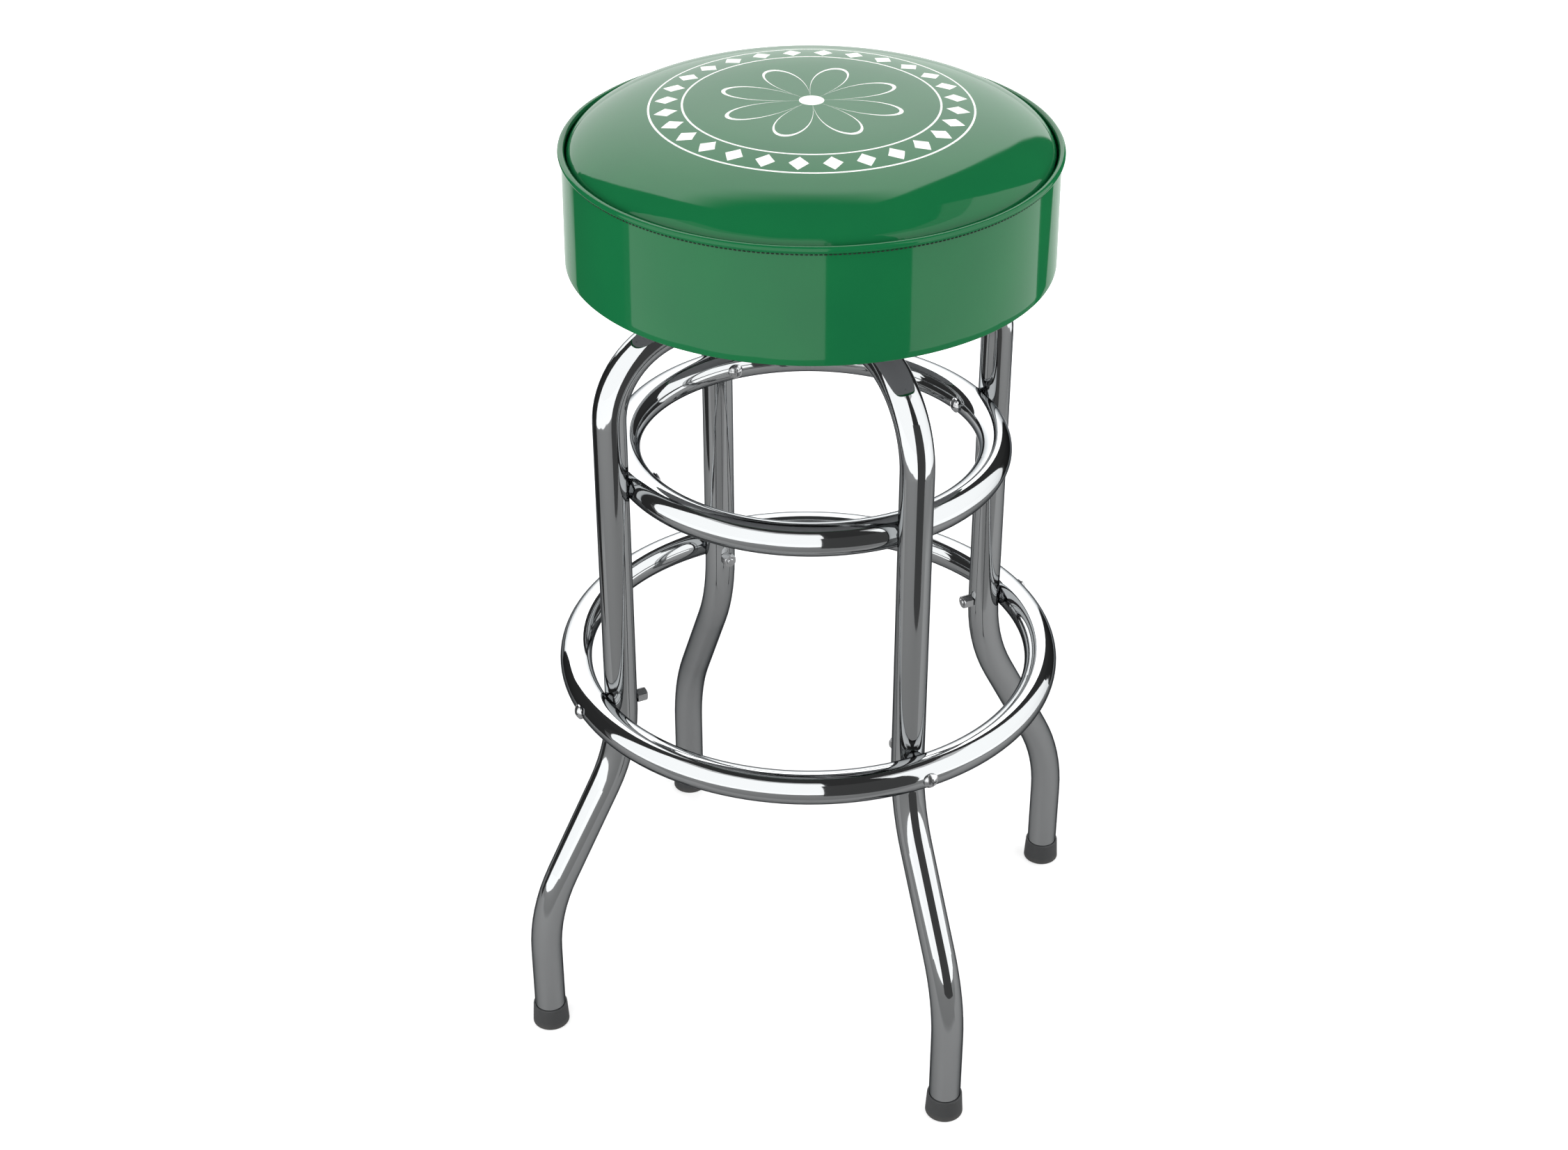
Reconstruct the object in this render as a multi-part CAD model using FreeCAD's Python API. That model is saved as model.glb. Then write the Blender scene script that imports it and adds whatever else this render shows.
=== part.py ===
import FreeCAD
import Part
import math
import os

# Swivel bar stool with a round padded seat on four chromed tube legs.
# Millimetres, +Z up. The origin is on the floor under the middle of the seat,
# the swivel axis is Z and the legs stand on the two diagonals of X and Y.

V = FreeCAD.Vector
UP = V(0, 0, 1)
ORIGIN = V(0, 0, 0)

# Tube that the legs and both rings are bent from
TUBE_D = 25.4
TUBE_WALL = 1.6

# Legs: two frames, each an inverted U that crosses the other under the seat
LEG_COUNT = 4
LEG_CIRCLE_R = 165.2
KICK_OUT = 75.5
KICK_FOOT_Z = 77.0
KICK_BEND_R = 157.8
KICK_ANGLE = 27.6
RUN_ABOVE_RING = 123.7
RUN_BEND_R = 66.0
LAP_GAP = 0.2

# Rings: the upper one inside the legs, the foot ring outside them
FOOT_RING_ABOVE_KICK = 4.4
RING_SPACING = 190.3
NEST_DEPTH = 3.0
SADDLE_GAP = 0.1

# Machine screw size used all over the stool
SCREW_D = 6.0
SCREW_HOLE_GAP = 0.25
THREAD_GAP = 0.05
HEAD_D = 12.0
HEAD_H = 3.9
HEAD_EDGE_H = 1.1
RECESS_SLOT_L = 6.4
RECESS_SLOT_W = 1.1
RECESS_DEPTH = 1.8
SCREW_TIP_CHAMFER = 0.6

# Hex nuts on the foot ring bolts and, thinner, under the swivel
NUT_FLATS = 10.0
NUT_H = 8.0
THIN_NUT_H = 5.0
NUT_CHAMFER = 0.8
BOLT_PROUD = 1.2

# Threaded inserts in the legs that take the upper ring's screws
INSERT_WALL = 1.45
INSERT_L = 13.0
INSERT_COLLAR_W = 1.7
INSERT_COLLAR_L = 3.0
INSERT_SCREW_ENGAGE = 9.0

# Rubber feet, each with a steel washer under the tube's end
FOOT_H = 19.5
FOOT_BASE_T = 5.0
FOOT_MOUTH_WALL = 1.3
FOOT_SOLE_WALL = 2.3
FOOT_SOLE_EDGE_R = 1.2
FOOT_MOUTH_EDGE_R = 0.9
FOOT_FIT_GAP = 0.05
FOOT_WASHER_T = 1.2
FOOT_WASHER_BORE_D = 9.0
FOOT_WASHER_GAP = 0.3

# Swivel: two square plates, two ball races, balls in a cage and a pivot pin
PLATE_SIDE = 136.0
PLATE_T = 3.0
PLATE_CORNER_R = 14.0
PLATE_HOLE_INSET = 11.5
RACE_R = 45.0
RACE_W = 14.0
RACE_H = 6.2
RACE_GAP = 5.0
BALL_D = 8.0
BALL_COUNT = 16
BALL_GAP = 0.1
CAGE_T = 1.2
CAGE_W = 12.0
PIN_D = 12.0
PIN_RUNNING_GAP = 0.05
PIN_HEAD_W = 4.0
PIN_HEAD_H = 3.6
PIN_HEAD_EDGE_H = 1.4
PIN_PLAY = 0.15
PIN_WASHER_W = 6.0
PIN_WASHER_T = 1.5

# Seat board, with a pocket over the pivot pin
BOARD_T = 12.0
BOARD_GAP = 0.3
BOARD_EDGE_R = 1.0
POCKET_SIDE_ROOM = 5.0
POCKET_TOP_ROOM = 3.0

# Vinyl cover: a crowned top, a band round the side and piping between them
VINYL_T = 1.2
BAND_FOOT_R = 180.1
BAND_LEAN = 1.0
BAND_H = 83.0
BAND_FOLD_R = 1.5
BAND_TURN_IN = 26.0
WELT_D = 5.2
WELT_PROUD = 2.6
SEAM_ALLOWANCE = 8.0
SEAM_GAP = 0.1
SHOULDER_INSET = 40.0
SHOULDER_RISE = 23.0
CROWN_RISE = 35.0
STITCH_D = 0.9
STITCH_DROP = 0.9
STITCH_PROUD = 0.2

# Dust cover and its staples
DUST_COVER_T = 0.6
DUST_COVER_INSET = 5.1
DUST_STEP_W = 3.0
STAPLE_COUNT = 24
STAPLE_INSET = 12.1
STAPLE_CROWN_L = 10.0
STAPLE_LEG_L = 6.0
STAPLE_WIRE = 1.1
STAPLE_HOLE_GAP = 0.1

# T-nuts in the board for the swivel's upper screws
T_NUT_FLANGE_W = 5.0
T_NUT_FLANGE_T = 1.4
T_NUT_WALL = 0.95
T_NUT_BARREL_L = 9.0
T_NUT_GAP = 0.1
SEAT_SCREW_SHORT_OF_PAD = 0.8

# Cuts run this far past the faces they open
OVERRUN = 5.0

TUBE_R = TUBE_D / 2
BORE_R = TUBE_R - TUBE_WALL
SCREW_R = SCREW_D / 2
SCREW_HOLE_R = SCREW_R + SCREW_HOLE_GAP
THREAD_R = SCREW_R + THREAD_GAP
LEG_STEP = 360 / LEG_COUNT
FIRST_LEG = LEG_STEP / 2

# The kick: two equal bends, one each way, with a slanting stretch between
KICK = math.radians(KICK_ANGLE)
KICK_ARC_OUT = KICK_BEND_R * (1 - math.cos(KICK))
KICK_ARC_H = KICK_BEND_R * math.sin(KICK)
KICK_SLOPE_H = (KICK_OUT - 2 * KICK_ARC_OUT) / math.tan(KICK)
KICK_TOP_Z = KICK_FOOT_Z + 2 * KICK_ARC_H + KICK_SLOPE_H
FOOT_CIRCLE_R = LEG_CIRCLE_R + KICK_OUT

# Rings, each pressed into the legs by the nest depth
UPPER_RING_R = LEG_CIRCLE_R - TUBE_D + NEST_DEPTH
FOOT_RING_R = LEG_CIRCLE_R + TUBE_D - NEST_DEPTH
FOOT_RING_Z = KICK_TOP_Z + FOOT_RING_ABOVE_KICK
UPPER_RING_Z = FOOT_RING_Z + RING_SPACING
RUN_Z = UPPER_RING_Z + RUN_ABOVE_RING

# Heights of the swivel and seat, counted up from the top of the leg frames
LOWER_PLATE_Z = RUN_Z + TUBE_R
LOWER_RACE_Z = LOWER_PLATE_Z + PLATE_T
BALL_Z = LOWER_RACE_Z + RACE_H + RACE_GAP / 2
UPPER_RACE_Z = BALL_Z + RACE_GAP / 2
UPPER_PLATE_Z = UPPER_RACE_Z + RACE_H
SWIVEL_TOP_Z = UPPER_PLATE_Z + PLATE_T
PIN_NECK_Z = SWIVEL_TOP_Z + PIN_PLAY + PIN_WASHER_T
BOARD_Z = SWIVEL_TOP_Z + DUST_COVER_T
BAND_Z = BOARD_Z - VINYL_T
BOARD_TOP_Z = BOARD_Z + BOARD_T
SEAM_Z = BAND_Z + BAND_H
TUBE_END_Z = FOOT_BASE_T + FOOT_WASHER_T

# Radii that follow from the sizes above
PLATE_BOLT_R = (PLATE_SIDE / 2 - PLATE_HOLE_INSET) * math.sqrt(2)
INSERT_R = THREAD_R + INSERT_WALL
T_NUT_R = THREAD_R + T_NUT_WALL
PIN_R = PIN_D / 2
PIN_WASHER_R = PIN_R + PIN_WASHER_W
POCKET_R = PIN_WASHER_R + POCKET_SIDE_ROOM
PAD_R = BAND_FOOT_R - VINYL_T - BOARD_GAP
BAND_TOP_R = BAND_FOOT_R - BAND_LEAN
WELT_RING_R = BAND_TOP_R + WELT_PROUD - WELT_D / 2
WELT_Z = SEAM_Z + WELT_D / 2
DUST_COVER_R = BAND_FOOT_R - DUST_COVER_INSET
STAPLE_R = BAND_FOOT_R - STAPLE_INSET


def turned(shape, degrees):
    """A copy of the shape turned about the swivel axis."""
    copy = shape.copy()
    copy.rotate(ORIGIN, UP, degrees)
    return copy


def moved(shape, x=0.0, z=0.0):
    """A copy of the shape moved out along X and up."""
    copy = shape.copy()
    copy.translate(V(x, 0, z))
    return copy


def around(shape, count, first):
    """Copies of the shape at even steps about the swivel axis."""
    return [turned(shape, first + 360 * i / count) for i in range(count)]


def fuse(shapes):
    """One solid from shapes that meet."""
    return shapes[0].fuse(shapes[1:]).removeSplitter()


def disc(radius, height, z=0.0):
    """A round plate standing on height z."""
    return Part.makeCylinder(radius, height, V(0, 0, z))


def ring_plate(outer_r, inner_r, height, z=0.0):
    """A flat ring standing on height z."""
    bore = disc(inner_r, height + 2 * OVERRUN, z - OVERRUN)
    return disc(outer_r, height, z).cut(bore)


def spun(steps):
    """Solid of revolution about Z. A step is (r, z), or two of them: through, to."""
    edges = []
    start = V(steps[0][0], 0, steps[0][1])
    here = start
    for step in steps[1:] + [steps[0]]:
        if isinstance(step[0], tuple):
            through = V(step[0][0], 0, step[0][1])
            end = V(step[1][0], 0, step[1][1])
            edges.append(Part.Arc(here, through, end).toShape())
        else:
            end = V(step[0], 0, step[1])
            if here.isEqual(end, Part.Precision.confusion()):
                continue
            edges.append(Part.LineSegment(here, end).toShape())
        here = end
    face = Part.Face(Part.Wire(edges))
    return Part.makeSolid(face.revolve(ORIGIN, UP, 360))


def arc_from(start, angle, end):
    """Middle point of the arc that leaves start at the angle and reaches end."""
    dx = end[0] - start[0]
    dz = end[1] - start[1]
    chord = math.hypot(dx, dz)
    half_turn = math.atan2(dz, dx) - math.radians(angle)
    reach = chord / (2 * math.cos(half_turn / 2))
    heading = math.radians(angle) + half_turn / 2
    return (start[0] + reach * math.cos(heading), start[1] + reach * math.sin(heading))


def half_leg_path(end_z):
    """Edges of one leg's centre line, from its lower end to the swivel axis."""
    half_out = KICK_BEND_R * (1 - math.cos(KICK / 2))
    half_h = KICK_BEND_R * math.sin(KICK / 2)
    run_bend_z = RUN_Z - RUN_BEND_R
    eighth = RUN_BEND_R * math.cos(math.pi / 4)
    foot = V(FOOT_CIRCLE_R, 0, end_z)
    kick_foot = V(FOOT_CIRCLE_R, 0, KICK_FOOT_Z)
    low_mid = V(FOOT_CIRCLE_R - half_out, 0, KICK_FOOT_Z + half_h)
    low_end = V(FOOT_CIRCLE_R - KICK_ARC_OUT, 0, KICK_FOOT_Z + KICK_ARC_H)
    high_start = V(LEG_CIRCLE_R + KICK_ARC_OUT, 0, KICK_TOP_Z - KICK_ARC_H)
    high_mid = V(LEG_CIRCLE_R + half_out, 0, KICK_TOP_Z - half_h)
    high_end = V(LEG_CIRCLE_R, 0, KICK_TOP_Z)
    bend_start = V(LEG_CIRCLE_R, 0, run_bend_z)
    bend_mid = V(LEG_CIRCLE_R - RUN_BEND_R + eighth, 0, run_bend_z + eighth)
    bend_end = V(LEG_CIRCLE_R - RUN_BEND_R, 0, RUN_Z)
    return [
        Part.LineSegment(foot, kick_foot).toShape(),
        Part.Arc(kick_foot, low_mid, low_end).toShape(),
        Part.LineSegment(low_end, high_start).toShape(),
        Part.Arc(high_start, high_mid, high_end).toShape(),
        Part.LineSegment(high_end, bend_start).toShape(),
        Part.Arc(bend_start, bend_mid, bend_end).toShape(),
        Part.LineSegment(bend_end, V(0, 0, RUN_Z)).toShape(),
    ]


def swept_frame(radius, end_z):
    """Round bar of the given radius along a whole leg frame in the XZ plane."""
    path = Part.Wire(half_leg_path(end_z))
    section = Part.Wire(Part.makeCircle(radius, V(FOOT_CIRCLE_R, 0, end_z), UP))
    half = path.makePipeShell([section], True, False)
    half = Part.makeSolid(half)
    return fuse([half, turned(half, 180)])


def saddle_rings(radius):
    """The two rings at a given tube radius, as cutters for the leg tubes."""
    return [
        Part.makeTorus(UPPER_RING_R, radius, V(0, 0, UPPER_RING_Z)),
        Part.makeTorus(FOOT_RING_R, radius, V(0, 0, FOOT_RING_Z)),
    ]


def radial_hole(radius, start, end, z):
    """Round bar along +X from start to end, for drilling."""
    return Part.makeCylinder(radius, end - start, V(start, 0, z), V(1, 0, 0))


def lap_box(grow, upper):
    """Space that one leg frame gives up to the other where they cross."""
    half = TUBE_R + LAP_GAP + grow
    reach = TUBE_R + OVERRUN
    low = RUN_Z - LAP_GAP / 2 - grow if upper else RUN_Z - reach
    high = RUN_Z + reach if upper else RUN_Z + LAP_GAP / 2 + grow
    return Part.makeBox(2 * half, 2 * reach, high - low, V(-half, -reach, low))


def leg_frame(crosses_over):
    """One inverted U of tube, lying in the XZ plane."""
    outer = swept_frame(TUBE_R, TUBE_END_Z)
    bore = swept_frame(BORE_R, TUBE_END_Z - OVERRUN)
    outer = outer.cut(saddle_rings(TUBE_R + SADDLE_GAP) + [lap_box(0.0, not crosses_over)])
    pressed_in = saddle_rings(TUBE_R + SADDLE_GAP + TUBE_WALL)
    bore = bore.cut(pressed_in + [lap_box(TUBE_WALL, not crosses_over)])
    frame = outer.cut(bore)
    leg_in = LEG_CIRCLE_R - TUBE_R
    leg_out = LEG_CIRCLE_R + TUBE_R
    insert_hole = radial_hole(INSERT_R, leg_in - OVERRUN, LEG_CIRCLE_R, UPPER_RING_Z)
    bolt_hole = radial_hole(SCREW_HOLE_R, leg_in - OVERRUN, leg_out + OVERRUN, FOOT_RING_Z)
    plate_hole = moved(disc(SCREW_HOLE_R, TUBE_D + 2 * OVERRUN), PLATE_BOLT_R, RUN_Z - TUBE_R - OVERRUN)
    holes = [insert_hole, bolt_hole, plate_hole]
    return frame.cut(holes + [turned(hole, 180) for hole in holes])


def ring(ring_r, z):
    """A ring of tube, drilled through both walls at each leg."""
    hollow = Part.makeTorus(ring_r, TUBE_R, V(0, 0, z)).cut(Part.makeTorus(ring_r, BORE_R, V(0, 0, z)))
    hole = radial_hole(SCREW_HOLE_R, ring_r - TUBE_D, ring_r + TUBE_D, z)
    return hollow.cut(around(hole, LEG_COUNT, FIRST_LEG))


def pan_head():
    """Domed screw head with a cross recess, standing on Z = 0."""
    edge = (HEAD_D / 2, HEAD_EDGE_H)
    top = (0.0, HEAD_H)
    rise = HEAD_H - HEAD_EDGE_H
    dome_r = (HEAD_D * HEAD_D / 4 + rise * rise) / (2 * rise)
    angle = 180 - math.degrees(math.asin(HEAD_D / 2 / dome_r))
    head = spun([(0.0, 0.0), (HEAD_D / 2, 0.0), edge, (arc_from(edge, angle, top), top)])
    slot = Part.makeBox(RECESS_SLOT_L, RECESS_SLOT_W, RECESS_DEPTH + OVERRUN)
    slot.translate(V(-RECESS_SLOT_L / 2, -RECESS_SLOT_W / 2, HEAD_H - RECESS_DEPTH))
    return head.cut([slot, turned(slot, 90)])


def screw(shank_l):
    """Cross-recessed pan head screw along Z, its shank pointing down."""
    tip = SCREW_TIP_CHAMFER
    shank = spun([
        (0.0, 0.0),
        (SCREW_R, 0.0),
        (SCREW_R, tip - shank_l),
        (SCREW_R - tip, -shank_l),
        (0.0, -shank_l),
    ])
    return fuse([pan_head(), shank])


def hex_nut(height):
    """Hexagon nut standing on Z = 0, its top corners chamfered."""
    flat_r = NUT_FLATS / 2
    corner_r = flat_r / math.cos(math.radians(30))
    first = V(corner_r, 0, 0)
    corners = [first]
    for step in range(1, 7):
        corner = FreeCAD.Rotation(UP, 60 * step).multVec(first)
        corners.append(corner)
    prism = Part.Face(Part.makePolygon(corners)).extrude(V(0, 0, height))
    chamfered = spun([
        (0.0, 0.0),
        (corner_r, 0.0),
        (corner_r, height - NUT_CHAMFER),
        (flat_r, height),
        (0.0, height),
    ])
    return prism.common(chamfered).cut(disc(THREAD_R, height + 2 * OVERRUN, -OVERRUN))


def laid_out(shape, x, z):
    """A shape made along Z, turned to point out along +X and placed."""
    copy = shape.copy()
    copy.rotate(ORIGIN, V(0, 1, 0), 90)
    copy.translate(V(x, 0, z))
    return copy


def laid_in(shape, x, z):
    """A shape made along Z, turned to point in along -X and placed."""
    copy = shape.copy()
    copy.rotate(ORIGIN, V(0, 1, 0), -90)
    copy.translate(V(x, 0, z))
    return copy


def upper_ring_screws():
    """Screws from inside the upper ring out into the inserts in the legs."""
    inner_r = UPPER_RING_R - TUBE_R
    head_seat = math.sqrt(inner_r * inner_r - HEAD_D * HEAD_D / 4)
    tip = insert_start() + INSERT_SCREW_ENGAGE
    return around(laid_in(screw(tip - head_seat), head_seat, UPPER_RING_Z), LEG_COUNT, FIRST_LEG)


def insert_start():
    """Where an insert's mouth lies, just clear of the ring in its saddle."""
    ring_out = UPPER_RING_R + TUBE_R
    return math.hypot(ring_out, INSERT_R) + SADDLE_GAP


def leg_inserts():
    """Threaded inserts, each with a collar pulled up behind the leg's wall."""
    start = insert_start()
    behind_wall = UPPER_RING_R + TUBE_R + SADDLE_GAP + TUBE_WALL + LAP_GAP
    barrel = disc(INSERT_R, INSERT_L)
    collar = disc(INSERT_R + INSERT_COLLAR_W, INSERT_COLLAR_L, behind_wall - start)
    insert = fuse([barrel, collar]).cut(disc(THREAD_R, INSERT_L + 2 * OVERRUN, -OVERRUN))
    return around(laid_out(insert, start, UPPER_RING_Z), LEG_COUNT, FIRST_LEG)


def foot_ring_bolts():
    """Bolts from outside the foot ring through the legs to their nuts."""
    head_seat = FOOT_RING_R + TUBE_R
    tip = LEG_CIRCLE_R - TUBE_R - NUT_H - BOLT_PROUD
    return around(laid_out(screw(head_seat - tip), head_seat, FOOT_RING_Z), LEG_COUNT, FIRST_LEG)


def foot_ring_nuts():
    """Hex nuts on the inner side of the legs."""
    nut = laid_in(hex_nut(NUT_H), LEG_CIRCLE_R - TUBE_R, FOOT_RING_Z)
    return around(nut, LEG_COUNT, FIRST_LEG)


def rubber_foot():
    """Rubber cap on the end of a leg, flared towards its sole."""
    bore_r = TUBE_R + FOOT_FIT_GAP
    sole_r = bore_r + FOOT_SOLE_WALL
    mouth_r = bore_r + FOOT_MOUTH_WALL
    sole_edge = FOOT_SOLE_EDGE_R
    mouth_edge = FOOT_MOUTH_EDGE_R
    sole_start = (sole_r - sole_edge, 0.0)
    sole_end = (sole_r, sole_edge)
    mouth_start = (mouth_r, FOOT_H - mouth_edge)
    mouth_end = (mouth_r - mouth_edge, FOOT_H)
    return spun([
        (0.0, 0.0),
        sole_start,
        (arc_from(sole_start, 0, sole_end), sole_end),
        mouth_start,
        (arc_from(mouth_start, 90, mouth_end), mouth_end),
        (bore_r, FOOT_H),
        (bore_r, FOOT_BASE_T),
        (0.0, FOOT_BASE_T),
    ])


def foot_washers():
    """Steel washers that keep the tube ends from cutting the rubber."""
    outer_r = TUBE_R - FOOT_WASHER_GAP
    washer = ring_plate(outer_r, FOOT_WASHER_BORE_D / 2, FOOT_WASHER_T, FOOT_BASE_T)
    return around(moved(washer, FOOT_CIRCLE_R), LEG_COUNT, FIRST_LEG)


def swivel_plate(z, pin_hole_r):
    """Square swivel plate with rounded corners, four holes and a middle hole."""
    half = PLATE_SIDE / 2
    plate = Part.makeBox(PLATE_SIDE, PLATE_SIDE, PLATE_T, V(-half, -half, z))
    upright = [edge for edge in plate.Edges if abs(edge.tangentAt(edge.FirstParameter).z) > 0.5]
    plate = plate.makeFillet(PLATE_CORNER_R, upright)
    depth = PLATE_T + 2 * OVERRUN
    bolt_hole = moved(disc(SCREW_HOLE_R, depth, z - OVERRUN), PLATE_BOLT_R)
    return plate.cut([disc(pin_hole_r, depth, z - OVERRUN)] + around(bolt_hole, LEG_COUNT, FIRST_LEG))


def race(z):
    """Bearing race with a round groove for the balls."""
    body = ring_plate(RACE_R + RACE_W / 2, RACE_R - RACE_W / 2, RACE_H, z)
    return body.cut(Part.makeTorus(RACE_R, BALL_D / 2 + BALL_GAP, V(0, 0, BALL_Z)))


def ball_cage():
    """Flat ring that keeps the balls apart."""
    cage = ring_plate(RACE_R + CAGE_W / 2, RACE_R - CAGE_W / 2, CAGE_T, BALL_Z - CAGE_T / 2)
    hole = moved(disc(BALL_D / 2 + BALL_GAP, CAGE_T + 2 * OVERRUN, BALL_Z - CAGE_T / 2 - OVERRUN), RACE_R)
    return cage.cut(around(hole, BALL_COUNT, 0))


def pivot_pin():
    """Pin riveted into the lower plate that holds the upper plate down."""
    head_r = PIN_R + PIN_HEAD_W
    edge = (head_r, PIN_NECK_Z + PIN_HEAD_EDGE_H)
    top = (PIN_R, PIN_NECK_Z + PIN_HEAD_H)
    return spun([
        (0.0, LOWER_PLATE_Z),
        (PIN_R, LOWER_PLATE_Z),
        (PIN_R, PIN_NECK_Z),
        (head_r, PIN_NECK_Z),
        edge,
        (arc_from(edge, 90, top), top),
        (0.0, PIN_NECK_Z + PIN_HEAD_H),
    ])


def pivot_washer():
    """Thrust washer under the pivot pin's head."""
    return ring_plate(PIN_WASHER_R, PIN_R + PIN_RUNNING_GAP, PIN_WASHER_T, SWIVEL_TOP_Z + PIN_PLAY)


def swivel_base_bolts():
    """Bolts from the lower plate down through the leg frames."""
    length = PLATE_T + TUBE_D + THIN_NUT_H + BOLT_PROUD
    return around(moved(screw(length), PLATE_BOLT_R, LOWER_RACE_Z), LEG_COUNT, FIRST_LEG)


def swivel_base_nuts():
    """Thin nuts under the leg frames."""
    nut = hex_nut(THIN_NUT_H)
    nut.rotate(ORIGIN, V(1, 0, 0), 180)
    return around(moved(nut, PLATE_BOLT_R, RUN_Z - TUBE_R), LEG_COUNT, FIRST_LEG)


def seat_screws():
    """Screws from the upper plate up into the T-nuts of the board."""
    length = BOARD_TOP_Z - SEAT_SCREW_SHORT_OF_PAD - UPPER_PLATE_Z
    upward = screw(length)
    upward.rotate(ORIGIN, V(1, 0, 0), 180)
    return around(moved(upward, PLATE_BOLT_R, UPPER_PLATE_Z), LEG_COUNT, FIRST_LEG)


def t_nuts():
    """Flanged nuts let into the top of the board."""
    foot_z = BOARD_TOP_Z - T_NUT_BARREL_L
    flange = disc(T_NUT_R + T_NUT_FLANGE_W, T_NUT_FLANGE_T, BOARD_TOP_Z - T_NUT_FLANGE_T)
    barrel = disc(T_NUT_R, T_NUT_BARREL_L, foot_z)
    thread = disc(THREAD_R, T_NUT_BARREL_L + 2 * OVERRUN, foot_z - OVERRUN)
    return around(moved(fuse([flange, barrel]).cut(thread), PLATE_BOLT_R), LEG_COUNT, FIRST_LEG)


def staple():
    """One staple along Y at its place on the circle, legs pointing up."""
    crown_z = BAND_Z - DUST_COVER_T - STAPLE_WIRE
    half = STAPLE_CROWN_L / 2
    near = STAPLE_R - STAPLE_WIRE / 2
    crown = Part.makeBox(STAPLE_WIRE, STAPLE_CROWN_L, STAPLE_WIRE, V(near, -half, crown_z))
    leg = Part.makeBox(STAPLE_WIRE, STAPLE_WIRE, STAPLE_LEG_L, V(near, -half, crown_z))
    other = leg.copy()
    other.translate(V(0, STAPLE_CROWN_L - STAPLE_WIRE, 0))
    return fuse([crown, leg, other])


def staple_holes():
    """Snug slots for the staples' legs."""
    gap = STAPLE_HOLE_GAP
    side = STAPLE_WIRE + 2 * gap
    low = BAND_Z - DUST_COVER_T - OVERRUN
    high = BAND_Z - DUST_COVER_T - STAPLE_WIRE + STAPLE_LEG_L + gap
    first = Part.makeBox(side, side, high - low, V(STAPLE_R - side / 2, -STAPLE_CROWN_L / 2 - gap, low))
    second = first.copy()
    second.translate(V(0, STAPLE_CROWN_L - STAPLE_WIRE, 0))
    return [slot for one in (first, second) for slot in around(one, STAPLE_COUNT, 0)]


def seat_board(slots):
    """Plywood disc with a pocket for the pivot pin and holes for the T-nuts."""
    edge_start = (PAD_R - BOARD_EDGE_R, BOARD_Z)
    edge_end = (PAD_R, BOARD_Z + BOARD_EDGE_R)
    body = spun([
        (0.0, BOARD_Z),
        edge_start,
        (arc_from(edge_start, 0, edge_end), edge_end),
        (PAD_R, BOARD_TOP_Z),
        (0.0, BOARD_TOP_Z),
    ])
    pocket_top = PIN_NECK_Z + PIN_HEAD_H + POCKET_TOP_ROOM
    pocket = disc(POCKET_R, pocket_top - BOARD_Z + OVERRUN, BOARD_Z - OVERRUN)
    barrel = disc(T_NUT_R + T_NUT_GAP, BOARD_T + 2 * OVERRUN, BOARD_Z - OVERRUN)
    flange_z = BOARD_TOP_Z - T_NUT_FLANGE_T
    flange = disc(T_NUT_R + T_NUT_FLANGE_W + T_NUT_GAP, T_NUT_FLANGE_T + OVERRUN, flange_z)
    hole = moved(fuse([barrel, flange]), PLATE_BOLT_R)
    return body.cut([pocket] + around(hole, LEG_COUNT, FIRST_LEG) + slots)


def crown(inset):
    """Edge, shoulder and apex of the crowned top, inset from its outside."""
    edge = (WELT_RING_R - WELT_D / 2 - SEAM_GAP - inset, WELT_Z)
    shoulder = (BAND_TOP_R - SHOULDER_INSET - inset, SEAM_Z + SHOULDER_RISE - inset)
    apex = (0.0, SEAM_Z + CROWN_RISE - inset)
    sag = apex[1] - shoulder[1]
    crown_r = (shoulder[0] * shoulder[0] + sag * sag) / (2 * sag)
    slope = -math.degrees(math.asin(shoulder[0] / crown_r))
    return edge, shoulder, apex, slope


def seam_r(layers):
    """Radius of the cover's sewn edge behind the band, so many layers in."""
    return BAND_TOP_R - VINYL_T - SEAM_GAP - layers * VINYL_T


def foam_pad():
    """Foam from the board up to the underside of the cover, crowned on top."""
    edge, shoulder, apex, slope = crown(VINYL_T)
    sewn_r = seam_r(1) - SEAM_GAP
    return spun([
        (0.0, BOARD_TOP_Z),
        (PAD_R, BOARD_TOP_Z),
        (sewn_r, SEAM_Z - SEAM_ALLOWANCE),
        (sewn_r, SEAM_Z),
        edge,
        (arc_from(shoulder, slope, edge), shoulder),
        (arc_from(shoulder, slope + 180, apex), apex),
    ])


def cover_top():
    """Crowned vinyl top, its edge turned down behind the band and sewn."""
    edge, shoulder, apex, slope = crown(0.0)
    edge_in, shoulder_in, apex_in, slope_in = crown(VINYL_T)
    beside = (WELT_D / 2 + SEAM_GAP) * math.cos(math.pi / 4)
    beside_welt = (WELT_RING_R - beside, WELT_Z - beside)
    return spun([
        (seam_r(0), SEAM_Z - SEAM_ALLOWANCE),
        (seam_r(0), SEAM_Z),
        (beside_welt, edge),
        (arc_from(shoulder, slope, edge), shoulder),
        (arc_from(shoulder, slope + 180, apex), apex),
        apex_in,
        (arc_from(shoulder_in, slope_in + 180, apex_in), shoulder_in),
        (arc_from(shoulder_in, slope_in, edge_in), edge_in),
        (seam_r(1), SEAM_Z),
        (seam_r(1), SEAM_Z - SEAM_ALLOWANCE),
    ])


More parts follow.
